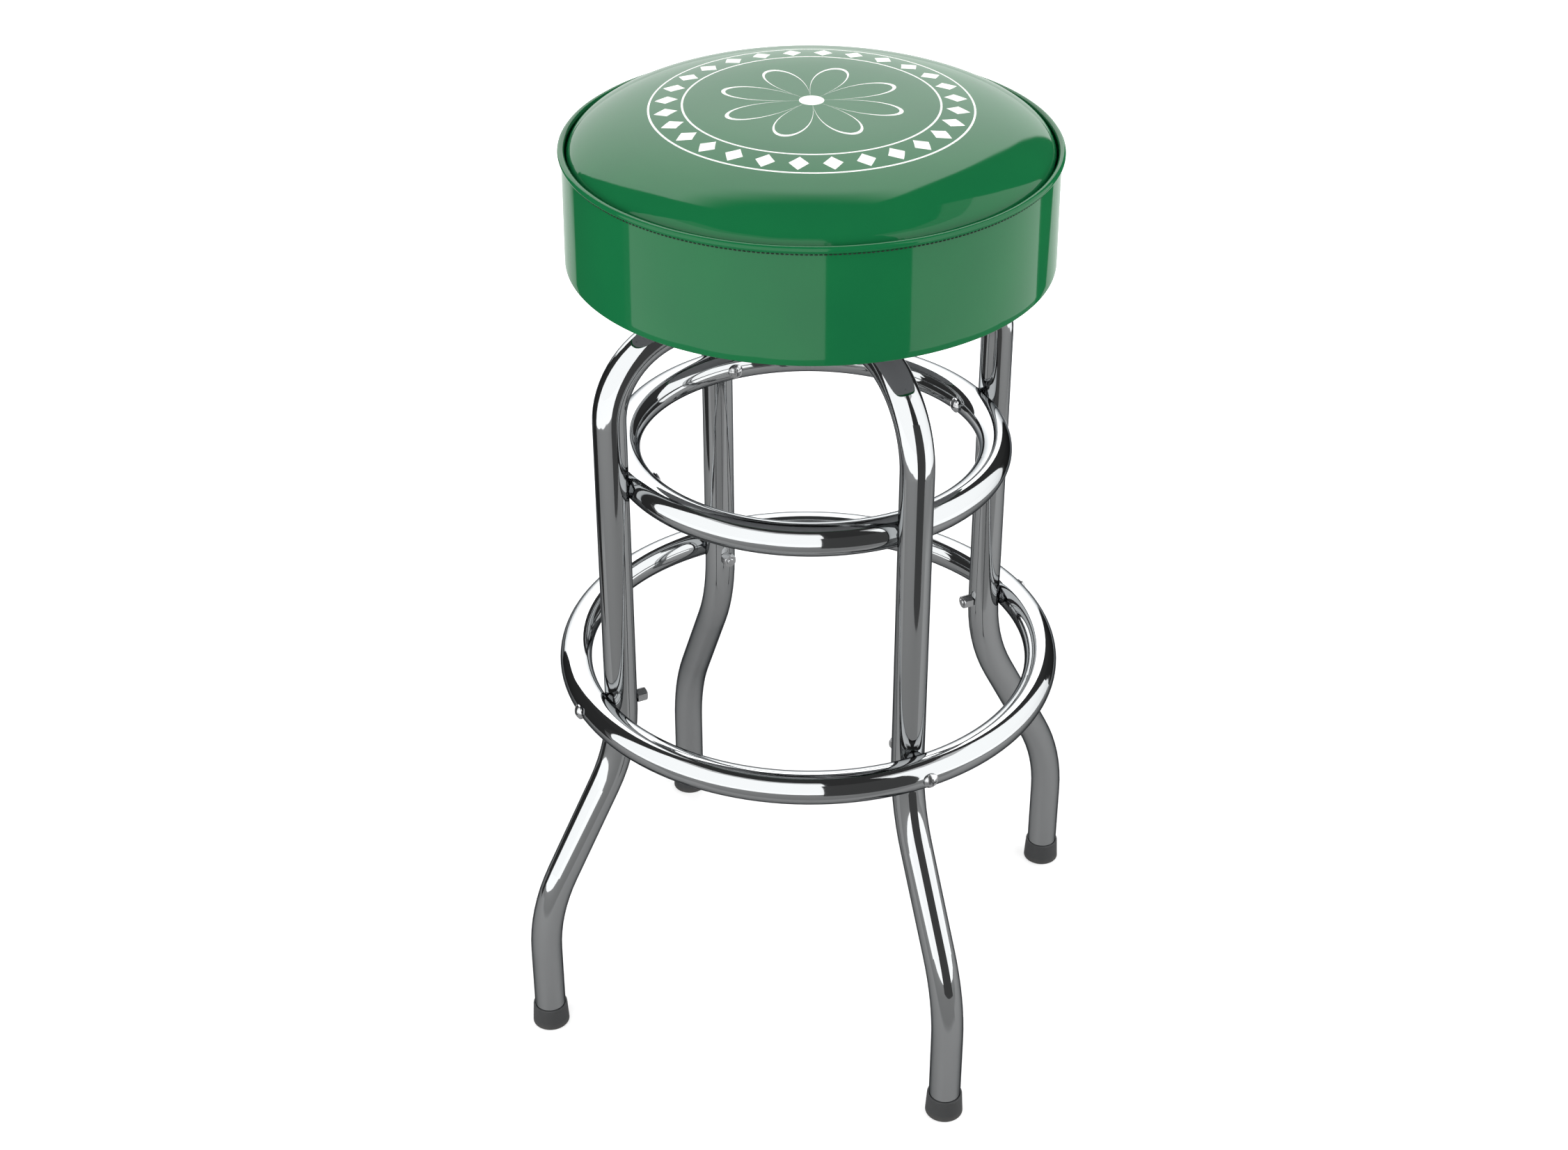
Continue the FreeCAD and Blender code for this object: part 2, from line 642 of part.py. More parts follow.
def cover_band(slots):
    """Vinyl band from the welt down and folded in under the board."""
    inner_r = BAND_FOOT_R - VINYL_T
    turned_in_r = BAND_FOOT_R - BAND_TURN_IN
    fold_start = (BAND_FOOT_R - BAND_FOLD_R, BAND_Z)
    fold_end = (BAND_FOOT_R, BAND_Z + BAND_FOLD_R)
    inner_start = (inner_r, BAND_Z + BAND_FOLD_R)
    inner_end = (BAND_FOOT_R - BAND_FOLD_R, BOARD_Z)
    band = spun([
        (turned_in_r, BAND_Z),
        fold_start,
        (arc_from(fold_start, 0, fold_end), fold_end),
        (BAND_TOP_R, SEAM_Z),
        (BAND_TOP_R - VINYL_T, SEAM_Z),
        inner_start,
        (arc_from(inner_start, -90, inner_end), inner_end),
        (turned_in_r, BOARD_Z),
    ])
    return band.cut([stitching()] + slots)


def welt():
    """Piping in the seam between the top and the band."""
    return Part.makeTorus(WELT_RING_R, WELT_D / 2, V(0, 0, WELT_Z))


def stitching():
    """Thread of the seam under the welt, standing a little proud of the band."""
    thread_r = STITCH_D / 2
    return Part.makeTorus(BAND_TOP_R + STITCH_PROUD, thread_r, V(0, 0, SEAM_Z - STITCH_DROP))


def dust_cover(slots):
    """Cloth disc under the board, stepped down over the band's turned edge."""
    inside = BAND_FOOT_R - BAND_TURN_IN - BOARD_GAP
    low = BAND_Z - DUST_COVER_T
    cloth = spun([
        (POCKET_R, BOARD_Z - DUST_COVER_T),
        (inside - DUST_STEP_W, BOARD_Z - DUST_COVER_T),
        (inside, low),
        (DUST_COVER_R, low),
        (DUST_COVER_R, BAND_Z),
        (inside, BAND_Z),
        (inside - DUST_STEP_W, BOARD_Z),
        (POCKET_R, BOARD_Z),
    ])
    screw_hole = moved(disc(SCREW_HOLE_R, DUST_COVER_T + 2 * OVERRUN, BOARD_Z - OVERRUN), PLATE_BOLT_R)
    return cloth.cut(around(screw_hole, LEG_COUNT, FIRST_LEG) + slots)


def build():
    """Every node of the stool, by name."""
    slots = staple_holes()
    feet = around(moved(rubber_foot(), FOOT_CIRCLE_R), LEG_COUNT, FIRST_LEG)
    foot_names = ["foot_back_right", "foot_back_left", "foot_front_left", "foot_front_right"]
    nodes = {
        "leg_frame_over": turned(leg_frame(True), FIRST_LEG),
        "leg_frame_under": turned(leg_frame(False), FIRST_LEG + LEG_STEP),
        "upper_ring": ring(UPPER_RING_R, UPPER_RING_Z),
        "foot_ring": ring(FOOT_RING_R, FOOT_RING_Z),
        "upper_ring_screws": upper_ring_screws(),
        "leg_inserts": leg_inserts(),
        "foot_ring_bolts": foot_ring_bolts(),
        "foot_ring_nuts": foot_ring_nuts(),
        "foot_washers": foot_washers(),
        "swivel_lower_plate": swivel_plate(LOWER_PLATE_Z, PIN_R),
        "swivel_lower_race": race(LOWER_RACE_Z),
        "swivel_balls": around(Part.makeSphere(BALL_D / 2, V(RACE_R, 0, BALL_Z)), BALL_COUNT, 0),
        "swivel_ball_cage": ball_cage(),
        "swivel_pivot_pin": pivot_pin(),
        "swivel_pivot_washer": pivot_washer(),
        "swivel_base_bolts": swivel_base_bolts(),
        "swivel_base_nuts": swivel_base_nuts(),
        "swivel_upper_race": race(UPPER_RACE_Z),
        "swivel_upper_plate": swivel_plate(UPPER_PLATE_Z, PIN_R + PIN_RUNNING_GAP),
        "seat_screws": seat_screws(),
        "seat_t_nuts": t_nuts(),
        "seat_board": seat_board(slots),
        "seat_foam_pad": foam_pad(),
        "seat_cover_top": cover_top(),
        "seat_cover_band": cover_band(slots),
        "seat_welt": welt(),
        "seat_stitching": stitching(),
        "seat_dust_cover": dust_cover(slots),
        "seat_staples": around(staple(), STAPLE_COUNT, 0),
    }
    nodes.update(zip(foot_names, feet))
    return nodes


def main():
    """Write one STEP file for each node."""
    os.makedirs("parts", exist_ok=True)
    for name, shape in build().items():
        whole = Part.makeCompound(shape) if isinstance(shape, list) else shape
        whole.exportStep("parts/" + name + ".step")
        print(name, len(whole.Solids), "solids", round(whole.Volume), "mm3", "valid", whole.isValid())


main()
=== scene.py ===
"""Looks of the swivel bar stool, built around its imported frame.

The seat's cushion, band, piping, stitching and dust cloth are modelled here. The chromed
tubes, their fasteners, the swivel and the rubber feet are the frame's own, with finishes.
"""

import logging
import math
from collections.abc import Callable
from dataclasses import dataclass, field
from enum import Enum
from typing import Any

import bpy
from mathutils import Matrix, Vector, noise


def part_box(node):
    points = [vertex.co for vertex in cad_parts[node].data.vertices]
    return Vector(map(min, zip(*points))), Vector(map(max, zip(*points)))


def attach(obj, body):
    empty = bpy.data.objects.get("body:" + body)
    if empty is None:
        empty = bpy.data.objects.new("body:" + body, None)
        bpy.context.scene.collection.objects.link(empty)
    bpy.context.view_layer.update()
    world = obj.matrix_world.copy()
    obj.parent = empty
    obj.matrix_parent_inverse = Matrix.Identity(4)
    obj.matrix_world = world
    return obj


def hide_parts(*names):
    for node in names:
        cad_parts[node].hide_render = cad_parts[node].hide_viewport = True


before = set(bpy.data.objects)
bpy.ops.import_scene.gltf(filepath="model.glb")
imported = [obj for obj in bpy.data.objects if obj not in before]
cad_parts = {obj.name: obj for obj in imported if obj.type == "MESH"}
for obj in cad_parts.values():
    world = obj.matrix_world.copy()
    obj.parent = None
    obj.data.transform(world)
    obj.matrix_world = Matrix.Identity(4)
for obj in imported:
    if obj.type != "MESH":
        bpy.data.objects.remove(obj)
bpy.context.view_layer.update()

LOG = logging.getLogger("bar_stool")
MM = 0.001
FULL_TURN = 2 * math.pi
ORIGIN = (0.0, 0.0, 0.0)
UPWARDS = (0.0, 0.0, 1.0)
WHITE = (1.0, 1.0, 1.0, 1.0)
BLACK = (0.0, 0.0, 0.0, 1.0)
Colour = tuple[float, float, float, float]
Profile = list[tuple[float, float]]
Socket = bpy.types.NodeSocket
Tree = bpy.types.NodeTree

# Straight behind the stool as the photograph sees it, where the piping's ends meet
BACK = math.radians(107.5)


class Slot(Enum):
    """The record's material slots of the new pieces."""

    VINYL = "green_vinyl"
    THREAD = "green_thread"
    DUST_CLOTH = "dust_cloth"


def linear(hex_colour: str) -> Colour:
    """Turn an sRGB colour such as "#156A3A" to linear light.

    Args:
        hex_colour: A hash sign and six hexadecimal digits.

    Returns:
        Red, green, blue and an alpha of one.
    """
    parts = [int(hex_colour[i:i + 2], 16) / 255 for i in (1, 3, 5)]
    light = [p / 12.92 if p <= 0.04045 else ((p + 0.055) / 1.055) ** 2.4 for p in parts]
    return (light[0], light[1], light[2], 1.0)


def per_metre(size_mm: float) -> float:
    """Texture scale at which one cell measures the given millimetres."""
    return 1.0 / (size_mm * MM)


def add_node(
    tree: Tree,
    kind: str,
    settings: dict[str | int, Any] | None = None,
    links: dict[str | int, Socket] | None = None,
) -> bpy.types.Node:
    """Add a node, set its properties and input values, and link its inputs.

    Args:
        tree: The node tree to add to.
        kind: The node's Blender type name.
        settings: Properties by their lower-case name, and input values by name or index.
        links: The socket that feeds each input, by the input's name or index.

    Returns:
        The new node.
    """
    node = tree.nodes.new(kind)
    for key, value in (settings or {}).items():
        if isinstance(key, str) and hasattr(node, key):
            setattr(node, key, value)
        else:
            node.inputs[key].default_value = value
    for key, socket in (links or {}).items():
        tree.links.new(socket, node.inputs[key])
    return node


@dataclass(frozen=True)
class Finish:
    """A surface finish: one named material with a procedural pattern.

    Subclasses override dress, which adds the pattern to the shader.
    """

    name: str
    colour: str
    roughness: float
    metallic: float = 0.0

    def build(self) -> bpy.types.Material:
        """Make the material.

        Returns:
            The new material.
        """
        material = bpy.data.materials.new(self.name)
        material.use_nodes = True
        tree = material.node_tree
        shader = tree.nodes["Principled BSDF"]
        shader.inputs["Base Color"].default_value = linear(self.colour)
        shader.inputs["Roughness"].default_value = self.roughness
        shader.inputs["Metallic"].default_value = self.metallic
        coords = add_node(tree, "ShaderNodeTexCoord")
        self.dress(tree, shader, coords.outputs["Object"])
        return material

    def dress(self, tree: Tree, shader: bpy.types.Node, place: Socket) -> None:
        """Add the finish's pattern; the plain finish has none."""

    def grain(self, tree: Tree, place: Socket, size_mm: float, detail: float = 3.0) -> Socket:
        """Add a noise pattern of the given grain size.

        Args:
            tree: The material's node tree.
            place: The coordinates it follows.
            size_mm: Size of one grain.
            detail: Finer octaves on top of it.

        Returns:
            A value from 0 to 1.
        """
        node = add_node(
            tree, "ShaderNodeTexNoise", {"Scale": per_metre(size_mm), "Detail": detail}, {"Vector": place}
        )
        return node.outputs["Fac"]

    def vary_roughness(self, tree: Tree, shader: bpy.types.Node, pattern: Socket, spread: float) -> None:
        """Let a pattern swing the roughness about its usual value.

        Args:
            tree: The material's node tree.
            shader: The shader whose roughness varies.
            pattern: A value from 0 to 1.
            spread: How far the roughness goes to either side.
        """
        limits = {"To Min": self.roughness - spread, "To Max": self.roughness + spread}
        swing = add_node(tree, "ShaderNodeMapRange", limits, {"Value": pattern})
        tree.links.new(swing.outputs["Result"], shader.inputs["Roughness"])

    def blend_colour(
        self,
        tree: Tree,
        shader: bpy.types.Node,
        amount: Socket,
        other: str,
    ) -> None:
        """Mix another colour into the base colour.

        Args:
            tree: The material's node tree.
            shader: The shader that is coloured.
            amount: How much of the other colour shows, from 0 to 1.
            other: The other colour.
        """
        colours = {"data_type": "RGBA", 6: linear(self.colour), 7: linear(other)}
        mix = add_node(tree, "ShaderNodeMix", colours, {0: amount})
        tree.links.new(mix.outputs[2], shader.inputs["Base Color"])

    def raise_by(self, tree: Tree, shader: bpy.types.Node, height: Socket, depth_mm: float) -> None:
        """Raise the surface by a height pattern.

        Args:
            tree: The material's node tree.
            shader: The shader whose normal is bent.
            height: A value from 0 to 1.
            depth_mm: The height that a value of 1 stands for.
        """
        node = add_node(tree, "ShaderNodeBump", {"Distance": depth_mm * MM}, {"Height": height})
        tree.links.new(node.outputs["Normal"], shader.inputs["Normal"])


@dataclass(frozen=True)
class ChromePlate(Finish):
    """Bright chrome over nickel on drawn steel tube, buffed after plating.

    The eye gets a near-mirror with faint haze from handling. Its darkening towards the edges is painted
    shade: a dark tint on the reflection there.
    """

    # Painted shade: a dark tint that darkens the chrome's reflection towards its edges
    shaded_edge_tint: str = "#5E6062"
    haze_mm: float = 45.0
    haze_detail: float = 4.0
    haze_spread: float = 0.015

    def dress(self, tree: Tree, shader: bpy.types.Node, place: Socket) -> None:
        """Add patches of haze."""
        # Painted shade: the dark tint darkens the reflection towards the edges
        shader.inputs["Specular Tint"].default_value = linear(self.shaded_edge_tint)
        haze = self.grain(tree, place, self.haze_mm, self.haze_detail)
        self.vary_roughness(tree, shader, haze, self.haze_spread)


@dataclass(frozen=True)
class ScuffedChrome(ChromePlate):
    """The foot ring's chrome, where shoe soles have left fine scuffs along its top.

    A scuff starts where the grain passes the first of its two levels and is full at the
    second, on faces whose normal rises more than upward_from.
    """

    upward_from: float = 0.5
    scuff_mm: float = 1.2
    scuff_detail: float = 6.0
    scuff_levels: tuple[float, float] = (0.62, 0.75)
    scuff_roughness: float = 0.22

    def dress(self, tree: Tree, shader: bpy.types.Node, place: Socket) -> None:
        """Add scuffs where the surface looks up."""
        # Painted shade: the dark tint darkens the reflection towards the edges
        shader.inputs["Specular Tint"].default_value = linear(self.shaded_edge_tint)
        facing = add_node(tree, "ShaderNodeNewGeometry")
        upward = add_node(tree, "ShaderNodeSeparateXYZ", links={"Vector": facing.outputs["Normal"]})
        top = add_node(tree, "ShaderNodeMapRange", {"From Min": self.upward_from}, {
            "Value": upward.outputs["Z"],
        })
        streak = add_node(tree, "ShaderNodeMapRange", {
            "From Min": self.scuff_levels[0],
            "From Max": self.scuff_levels[1],
        }, {"Value": self.grain(tree, place, self.scuff_mm, self.scuff_detail)})
        scuff = add_node(tree, "ShaderNodeMath", {"operation": "MULTIPLY"}, {
            0: top.outputs["Result"],
            1: streak.outputs["Result"],
        })
        haze = add_node(tree, "ShaderNodeMapRange", {
            "To Min": self.roughness,
            "To Max": self.scuff_roughness,
        }, {"Value": scuff.outputs["Value"]})
        tree.links.new(haze.outputs["Result"], shader.inputs["Roughness"])


@dataclass(frozen=True)
class ZincPlate(Finish):
    """Zinc-plated steel: grey and a little cloudy, with a fine grit."""

    cloud_mm: float = 3.0
    cloud_detail: float = 5.0
    cloud_spread: float = 0.1
    grit_mm: float = 0.35
    grit_detail: float = 2.0
    grit_depth_mm: float = 0.02

    def dress(self, tree: Tree, shader: bpy.types.Node, place: Socket) -> None:
        """Add the cloudy sheen and the grit."""
        cloud = self.grain(tree, place, self.cloud_mm, self.cloud_detail)
        self.vary_roughness(tree, shader, cloud, self.cloud_spread)
        grit = self.grain(tree, place, self.grit_mm, self.grit_detail)
        self.raise_by(tree, shader, grit, self.grit_depth_mm)


@dataclass(frozen=True)
class Enamel(Finish):
    """Black baked enamel on pressed steel: a low sheen with orange peel."""

    peel_mm: float = 1.6
    peel_detail: float = 1.5
    peel_depth_mm: float = 0.03
    peel_spread: float = 0.06

    def dress(self, tree: Tree, shader: bpy.types.Node, place: Socket) -> None:
        """Add orange peel and a slight change of sheen."""
        peel = self.grain(tree, place, self.peel_mm, self.peel_detail)
        self.raise_by(tree, shader, peel, self.peel_depth_mm)
        self.vary_roughness(tree, shader, peel, self.peel_spread)


@dataclass(frozen=True)
class MouldedRubber(Finish):
    """Moulded rubber: matt charcoal, a fine mould texture and dust low down."""

    texture_mm: float = 0.5
    texture_depth_mm: float = 0.05
    patch_mm: float = 8.0
    patch_detail: float = 4.0
    patch_spread: float = 0.08
    dust: str = "#63605A"
    dust_top_mm: float = 6.0
    dust_most: float = 0.5

    def dress(self, tree: Tree, shader: bpy.types.Node, place: Socket) -> None:
        """Add the mould's texture, and dust near the floor."""
        height = add_node(tree, "ShaderNodeSeparateXYZ", links={"Vector": place})
        low = add_node(tree, "ShaderNodeMapRange", {
            "From Max": self.dust_top_mm * MM,
            "To Min": self.dust_most,
            "To Max": 0.0,
        }, {"Value": height.outputs["Z"]})
        patch = self.grain(tree, place, self.patch_mm, self.patch_detail)
        amount = add_node(tree, "ShaderNodeMath", {"operation": "MULTIPLY"}, {
            0: low.outputs["Result"],
            1: patch,
        })
        self.blend_colour(tree, shader, amount.outputs["Value"], self.dust)
        self.vary_roughness(tree, shader, patch, self.patch_spread)
        self.raise_by(tree, shader, self.grain(tree, place, self.texture_mm), self.texture_depth_mm)


@dataclass(frozen=True)
class GlossyVinyl(Finish):
    """Expanded vinyl on knitted backing, with a gloss lacquer.

    The eye gets a deep green under a clear, bright coat, a soft change of tone, and a
    leather-like grain that shows only close up.
    """

    grain_mm: float = 0.9
    grain_depth_mm: float = 0.02
    sheen_below: float = 0.0
    coat: float = 0.42
    coat_roughness: float = 0.06
    tone_mm: float = 60.0
    tone_detail: float = 2.0
    shade: str = "#115C36"

    def dress(self, tree: Tree, shader: bpy.types.Node, place: Socket) -> None:
        """Add the embossed grain, a soft change of tone and the lacquer."""
        shader.inputs["Specular IOR Level"].default_value = self.sheen_below
        shader.inputs["Coat Weight"].default_value = self.coat
        shader.inputs["Coat Roughness"].default_value = self.coat_roughness
        tone = self.grain(tree, place, self.tone_mm, self.tone_detail)
        self.blend_colour(tree, shader, tone, self.shade)
        cells = add_node(tree, "ShaderNodeTexVoronoi", {
            "feature": "DISTANCE_TO_EDGE",
            "Scale": per_metre(self.grain_mm),
        }, {"Vector": place})
        self.raise_by(tree, shader, cells.outputs["Distance"], self.grain_depth_mm)


@dataclass(frozen=True)
class PrintedVinyl(GlossyVinyl):
    """The seat top's vinyl with a plain geometric print in white ink.

    The eye gets a ring of lozenges between two lines, round an open rosette, with the ink
    worn through in specks.
    """

    ink: str = "#F1F3EE"
    line_mm: float = 1.5
    ring_radii_mm: tuple[float, float] = (92.0, 116.0)
    lozenges: int = 28
    lozenge_mm: tuple[float, float] = (7.0, 8.5)
    petals: int = 8
    petal_mm: float = 66.0
    petal_bend: float = 0.55
    heart_mm: float = 9.0
    speck_mm: float = 0.7
    speck_detail: float = 1.0
    speck_from: float = 0.30

    def dress(self, tree: Tree, shader: bpy.types.Node, place: Socket) -> None:
        """Add the vinyl's own pattern, then lay the print over its colour."""
        super().dress(tree, shader, place)
        vinyl_colour = shader.inputs["Base Color"].links[0].from_socket
        mix = add_node(tree, "ShaderNodeMix", {"data_type": "RGBA", 7: linear(self.ink)}, {
            0: self.print_mask(tree, place),
            6: vinyl_colour,
        })
        tree.links.new(mix.outputs[2], shader.inputs["Base Color"])

    def print_mask(self, tree: Tree, place: Socket) -> Socket:
        """Work out where the ink is.

        Args:
            tree: The material's node tree.
            place: Object coordinates.

        Returns:
            One on the ink and zero beside it.
        """
        axes = add_node(tree, "ShaderNodeSeparateXYZ", links={"Vector": place})
        flat = add_node(tree, "ShaderNodeCombineXYZ", links={
            "X": axes.outputs["X"],
            "Y": axes.outputs["Y"],
        })
        reach = add_node(tree, "ShaderNodeVectorMath", {"operation": "LENGTH"}, {0: flat.outputs["Vector"]})
        radius = reach.outputs["Value"]
        turn = add_node(tree, "ShaderNodeMath", {"operation": "ARCTAN2"}, {
            0: axes.outputs["Y"],
            1: axes.outputs["X"],
        })
        lines = [
            add_node(tree, "ShaderNodeMath", {
                "operation": "COMPARE", 1: ring * MM, 2: self.line_mm * MM / 2,
            }, {0: radius})
            for ring in self.ring_radii_mm
        ]
        heart = add_node(tree, "ShaderNodeMath", {"operation": "LESS_THAN", 1: self.heart_mm * MM}, {
            0: radius,
        })
        marks = lines + [heart, self.petal_lines(tree, radius, turn.outputs["Value"])]
        marks.append(self.lozenge_ring(tree, radius, turn.outputs["Value"]))
        ink = marks[0].outputs["Value"]
        for mark in marks[1:]:
            both = add_node(tree, "ShaderNodeMath", {"operation": "MAXIMUM"}, {
                0: ink,
                1: mark.outputs["Value"],
            })
            ink = both.outputs["Value"]
        whole = add_node(tree, "ShaderNodeMath", {"operation": "GREATER_THAN", 1: self.speck_from}, {
            0: self.grain(tree, place, self.speck_mm, self.speck_detail),
        })
        left = add_node(tree, "ShaderNodeMath", {"operation": "MULTIPLY"}, {
            0: ink,
            1: whole.outputs["Value"],
        })
        return left.outputs["Value"]

    def petal_lines(self, tree: Tree, radius: Socket, turn: Socket) -> bpy.types.Node:
        """Outline the rosette's petals: the radius swings with the angle."""
        spin = add_node(tree, "ShaderNodeMath", {"operation": "MULTIPLY", 1: self.petals / 2}, {0: turn})
        swing = add_node(tree, "ShaderNodeMath", {"operation": "COSINE"}, {0: spin.outputs["Value"]})
        size = add_node(tree, "ShaderNodeMath", {"operation": "ABSOLUTE"}, {0: swing.outputs["Value"]})
        bend = add_node(tree, "ShaderNodeMath", {"operation": "POWER", 1: self.petal_bend}, {
            0: size.outputs["Value"],
        })
        edge = add_node(tree, "ShaderNodeMath", {"operation": "MULTIPLY", 1: self.petal_mm * MM}, {
            0: bend.outputs["Value"],
        })
        return add_node(tree, "ShaderNodeMath", {"operation": "COMPARE", 2: self.line_mm * MM}, {
            0: radius,
            1: edge.outputs["Value"],
        })

    def lozenge_ring(self, tree: Tree, radius: Socket, turn: Socket) -> bpy.types.Node:
        """Set lozenges between the two lines."""
        middle = sum(self.ring_radii_mm) / 2 * MM
        step = math.pi / self.lozenges
        aside = add_node(tree, "ShaderNodeMath", {"operation": "WRAP", 1: step, 2: -step}, {0: turn})
        across = add_node(tree, "ShaderNodeMath", {
            "operation": "MULTIPLY", 1: middle / (self.lozenge_mm[0] * MM),
        }, {0: aside.outputs["Value"]})
        outward = add_node(tree, "ShaderNodeMath", {
            "operation": "MULTIPLY_ADD",
            1: 1 / (self.lozenge_mm[1] * MM),
            2: -middle / (self.lozenge_mm[1] * MM),
        }, {0: radius})
        sizes = [
            add_node(tree, "ShaderNodeMath", {"operation": "ABSOLUTE"}, {0: part.outputs["Value"]})
            for part in (across, outward)
        ]
        total = add_node(tree, "ShaderNodeMath", {"operation": "ADD"}, {
            0: sizes[0].outputs["Value"],
            1: sizes[1].outputs["Value"],
        })
        return add_node(tree, "ShaderNodeMath", {"operation": "LESS_THAN", 1: 1.0}, {
            0: total.outputs["Value"],
        })


@dataclass(frozen=True)
class SpunThread(Finish):
    """Bonded green polyester thread, coloured nearly black: its own dark green with painted shade of the
    seam, two plies over each other, with a dull sheen.
    """

    ply_mm: float = 0.6
    ply_depth_mm: float = 0.08
    ply_waver: float = 0.6

    def dress(self, tree: Tree, shader: bpy.types.Node, place: Socket) -> None:
        """Add the slanting plies."""
        wave = add_node(tree, "ShaderNodeTexWave", {
            "bands_direction": "DIAGONAL",
            "Scale": per_metre(self.ply_mm) / math.pi,
            "Distortion": self.ply_waver,
        }, {"Vector": place})
        self.raise_by(tree, shader, wave.outputs["Fac"], self.ply_depth_mm)


@dataclass(frozen=True)
class SpunbondCloth(Finish):
    """Grey spunbond dust cloth: matt, with bonded points in a close grid."""

    point_mm: float = 2.2
    point_depth_mm: float = 0.12
    fibre_mm: float = 0.4
    fibre_detail: float = 4.0
    fibre: str = "#9FA0A2"

    def dress(self, tree: Tree, shader: bpy.types.Node, place: Socket) -> None:
        """Add the grid of bonded points and loose fibre tone."""
        points = add_node(tree, "ShaderNodeTexVoronoi", {
            "Scale": per_metre(self.point_mm),
            "Randomness": 0.0,
        }, {"Vector": place})
        self.raise_by(tree, shader, points.outputs["Distance"], self.point_depth_mm)
        fibres = self.grain(tree, place, self.fibre_mm, self.fibre_detail)
        self.blend_colour(tree, shader, fibres, self.fibre)


@dataclass(frozen=True)
class BirchPlywood(Finish):
    """Birch plywood: pale plies with darker glue lines, and grain along the sheet."""

    ply_mm: float = 1.5
    glue: str = "#8A6A42"
    glue_from: float = 0.8
    glue_most: float = 0.7
    ring_mm: float = 5.0
    ring_detail: float = 5.0
    ring_stretch: float = 0.08
    ring_depth_mm: float = 0.05

    def dress(self, tree: Tree, shader: bpy.types.Node, place: Socket) -> None:
        """Add glue lines up the edge and long grain on the faces."""
        lines = add_node(tree, "ShaderNodeTexWave", {
            "bands_direction": "Z",
            "Scale": per_metre(self.ply_mm) / FULL_TURN,
        }, {"Vector": place})
        dark = add_node(tree, "ShaderNodeMapRange", {
            "From Min": self.glue_from,
            "To Max": self.glue_most,
        }, {"Value": lines.outputs["Fac"]})
        along = add_node(tree, "ShaderNodeMapping", {"Scale": (self.ring_stretch, 1.0, 1.0)}, {
            "Vector": place,
        })
        figure = self.grain(tree, along.outputs["Vector"], self.ring_mm, self.ring_detail)
        amount = add_node(tree, "ShaderNodeMath", {"operation": "MAXIMUM"}, {
            0: dark.outputs["Result"],
            1: figure,
        })
        self.blend_colour(tree, shader, amount.outputs["Value"], self.glue)
        self.raise_by(tree, shader, figure, self.ring_depth_mm)


CHROME = ChromePlate("chrome_plated_tube", "#ADAFB0", 0.045, 1.0)
FOOT_RING_CHROME = ScuffedChrome("chrome_plated_foot_ring", "#ADAFB0", 0.045, 1.0)
BRIGHT_STEEL = ZincPlate(
    "nickel_plated_fastener", "#B4B5B6", 0.22, 1.0, cloud_mm=1.5, grit_depth_mm=0.005
)
ZINC = ZincPlate("zinc_plated_steel", "#9B9EA0", 0.42, 1.0)
BLACK_ENAMEL = Enamel("black_baked_enamel", "#1B1C1D", 0.38)
BEARING_STEEL = ZincPlate("hardened_bearing_steel", "#8C8E91", 0.25, 1.0, grit_depth_mm=0.003)
FOOT_RUBBER = MouldedRubber("moulded_charcoal_rubber", "#333435", 0.62)
PLYWOOD = BirchPlywood("birch_plywood", "#D2B083", 0.6)
VINYL = GlossyVinyl("glossy_green_vinyl", "#146538", 0.28)
PRINTED_VINYL = PrintedVinyl("printed_green_vinyl", VINYL.colour, VINYL.roughness)
# Part painted shade: the dark green thread darkened to nearly black, for the shade of the seam it lies in
THREAD = SpunThread("bonded_green_thread_with_seam_shade", "#061D0E", 0.7)
DUST_CLOTH = SpunbondCloth("grey_spunbond_cloth", "#8C8D90", 0.9)

NODE_FINISHES: dict[Finish, list[str]] = {
    CHROME: ["leg_frame_over", "leg_frame_under", "upper_ring"],
    FOOT_RING_CHROME: ["foot_ring"],
    BRIGHT_STEEL: ["upper_ring_screws", "foot_ring_bolts", "foot_ring_nuts"],
    ZINC: [
        "leg_inserts", "foot_washers", "swivel_base_bolts", "swivel_base_nuts", "swivel_pivot_washer",
        "seat_screws", "seat_t_nuts", "seat_staples",
    ],
    BLACK_ENAMEL: ["swivel_lower_plate", "swivel_upper_plate"],
    BEARING_STEEL: [
        "swivel_lower_race", "swivel_upper_race", "swivel_balls", "swivel_ball_cage", "swivel_pivot_pin",
    ],
    FOOT_RUBBER: ["foot_back_right", "foot_back_left", "foot_front_left", "foot_front_right"],
    PLYWOOD: ["seat_board"],
}


def node_reach(node: str) -> float:
    """Outer radius of a round CAD node about the swivel's axis, in metres."""
    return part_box(node)[1][0]


def node_span(node: str) -> tuple[float, float]:
    """Lowest and highest place of a CAD node, in metres."""
    low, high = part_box(node)
    return low[2], high[2]


def start_ring(name: str, radius: float, height: float, segments: int) -> bpy.types.Object:
    """Add a circle about the swivel's axis as the start of a turned piece.

    Args:
        name: The piece's name.
        radius: The circle's radius in metres.
        height: Its height above the floor in metres.
        segments: How many edges it has.

    Returns:
        The new object, alone selected, in object mode.
    """
    bpy.ops.object.select_all(action="DESELECT")
    bpy.ops.mesh.primitive_circle_add(vertices=segments, radius=radius, location=(0, 0, height))
    piece = bpy.context.object
    piece.name = name
    bpy.ops.object.transform_apply(location=True, rotation=True, scale=True)
    return piece


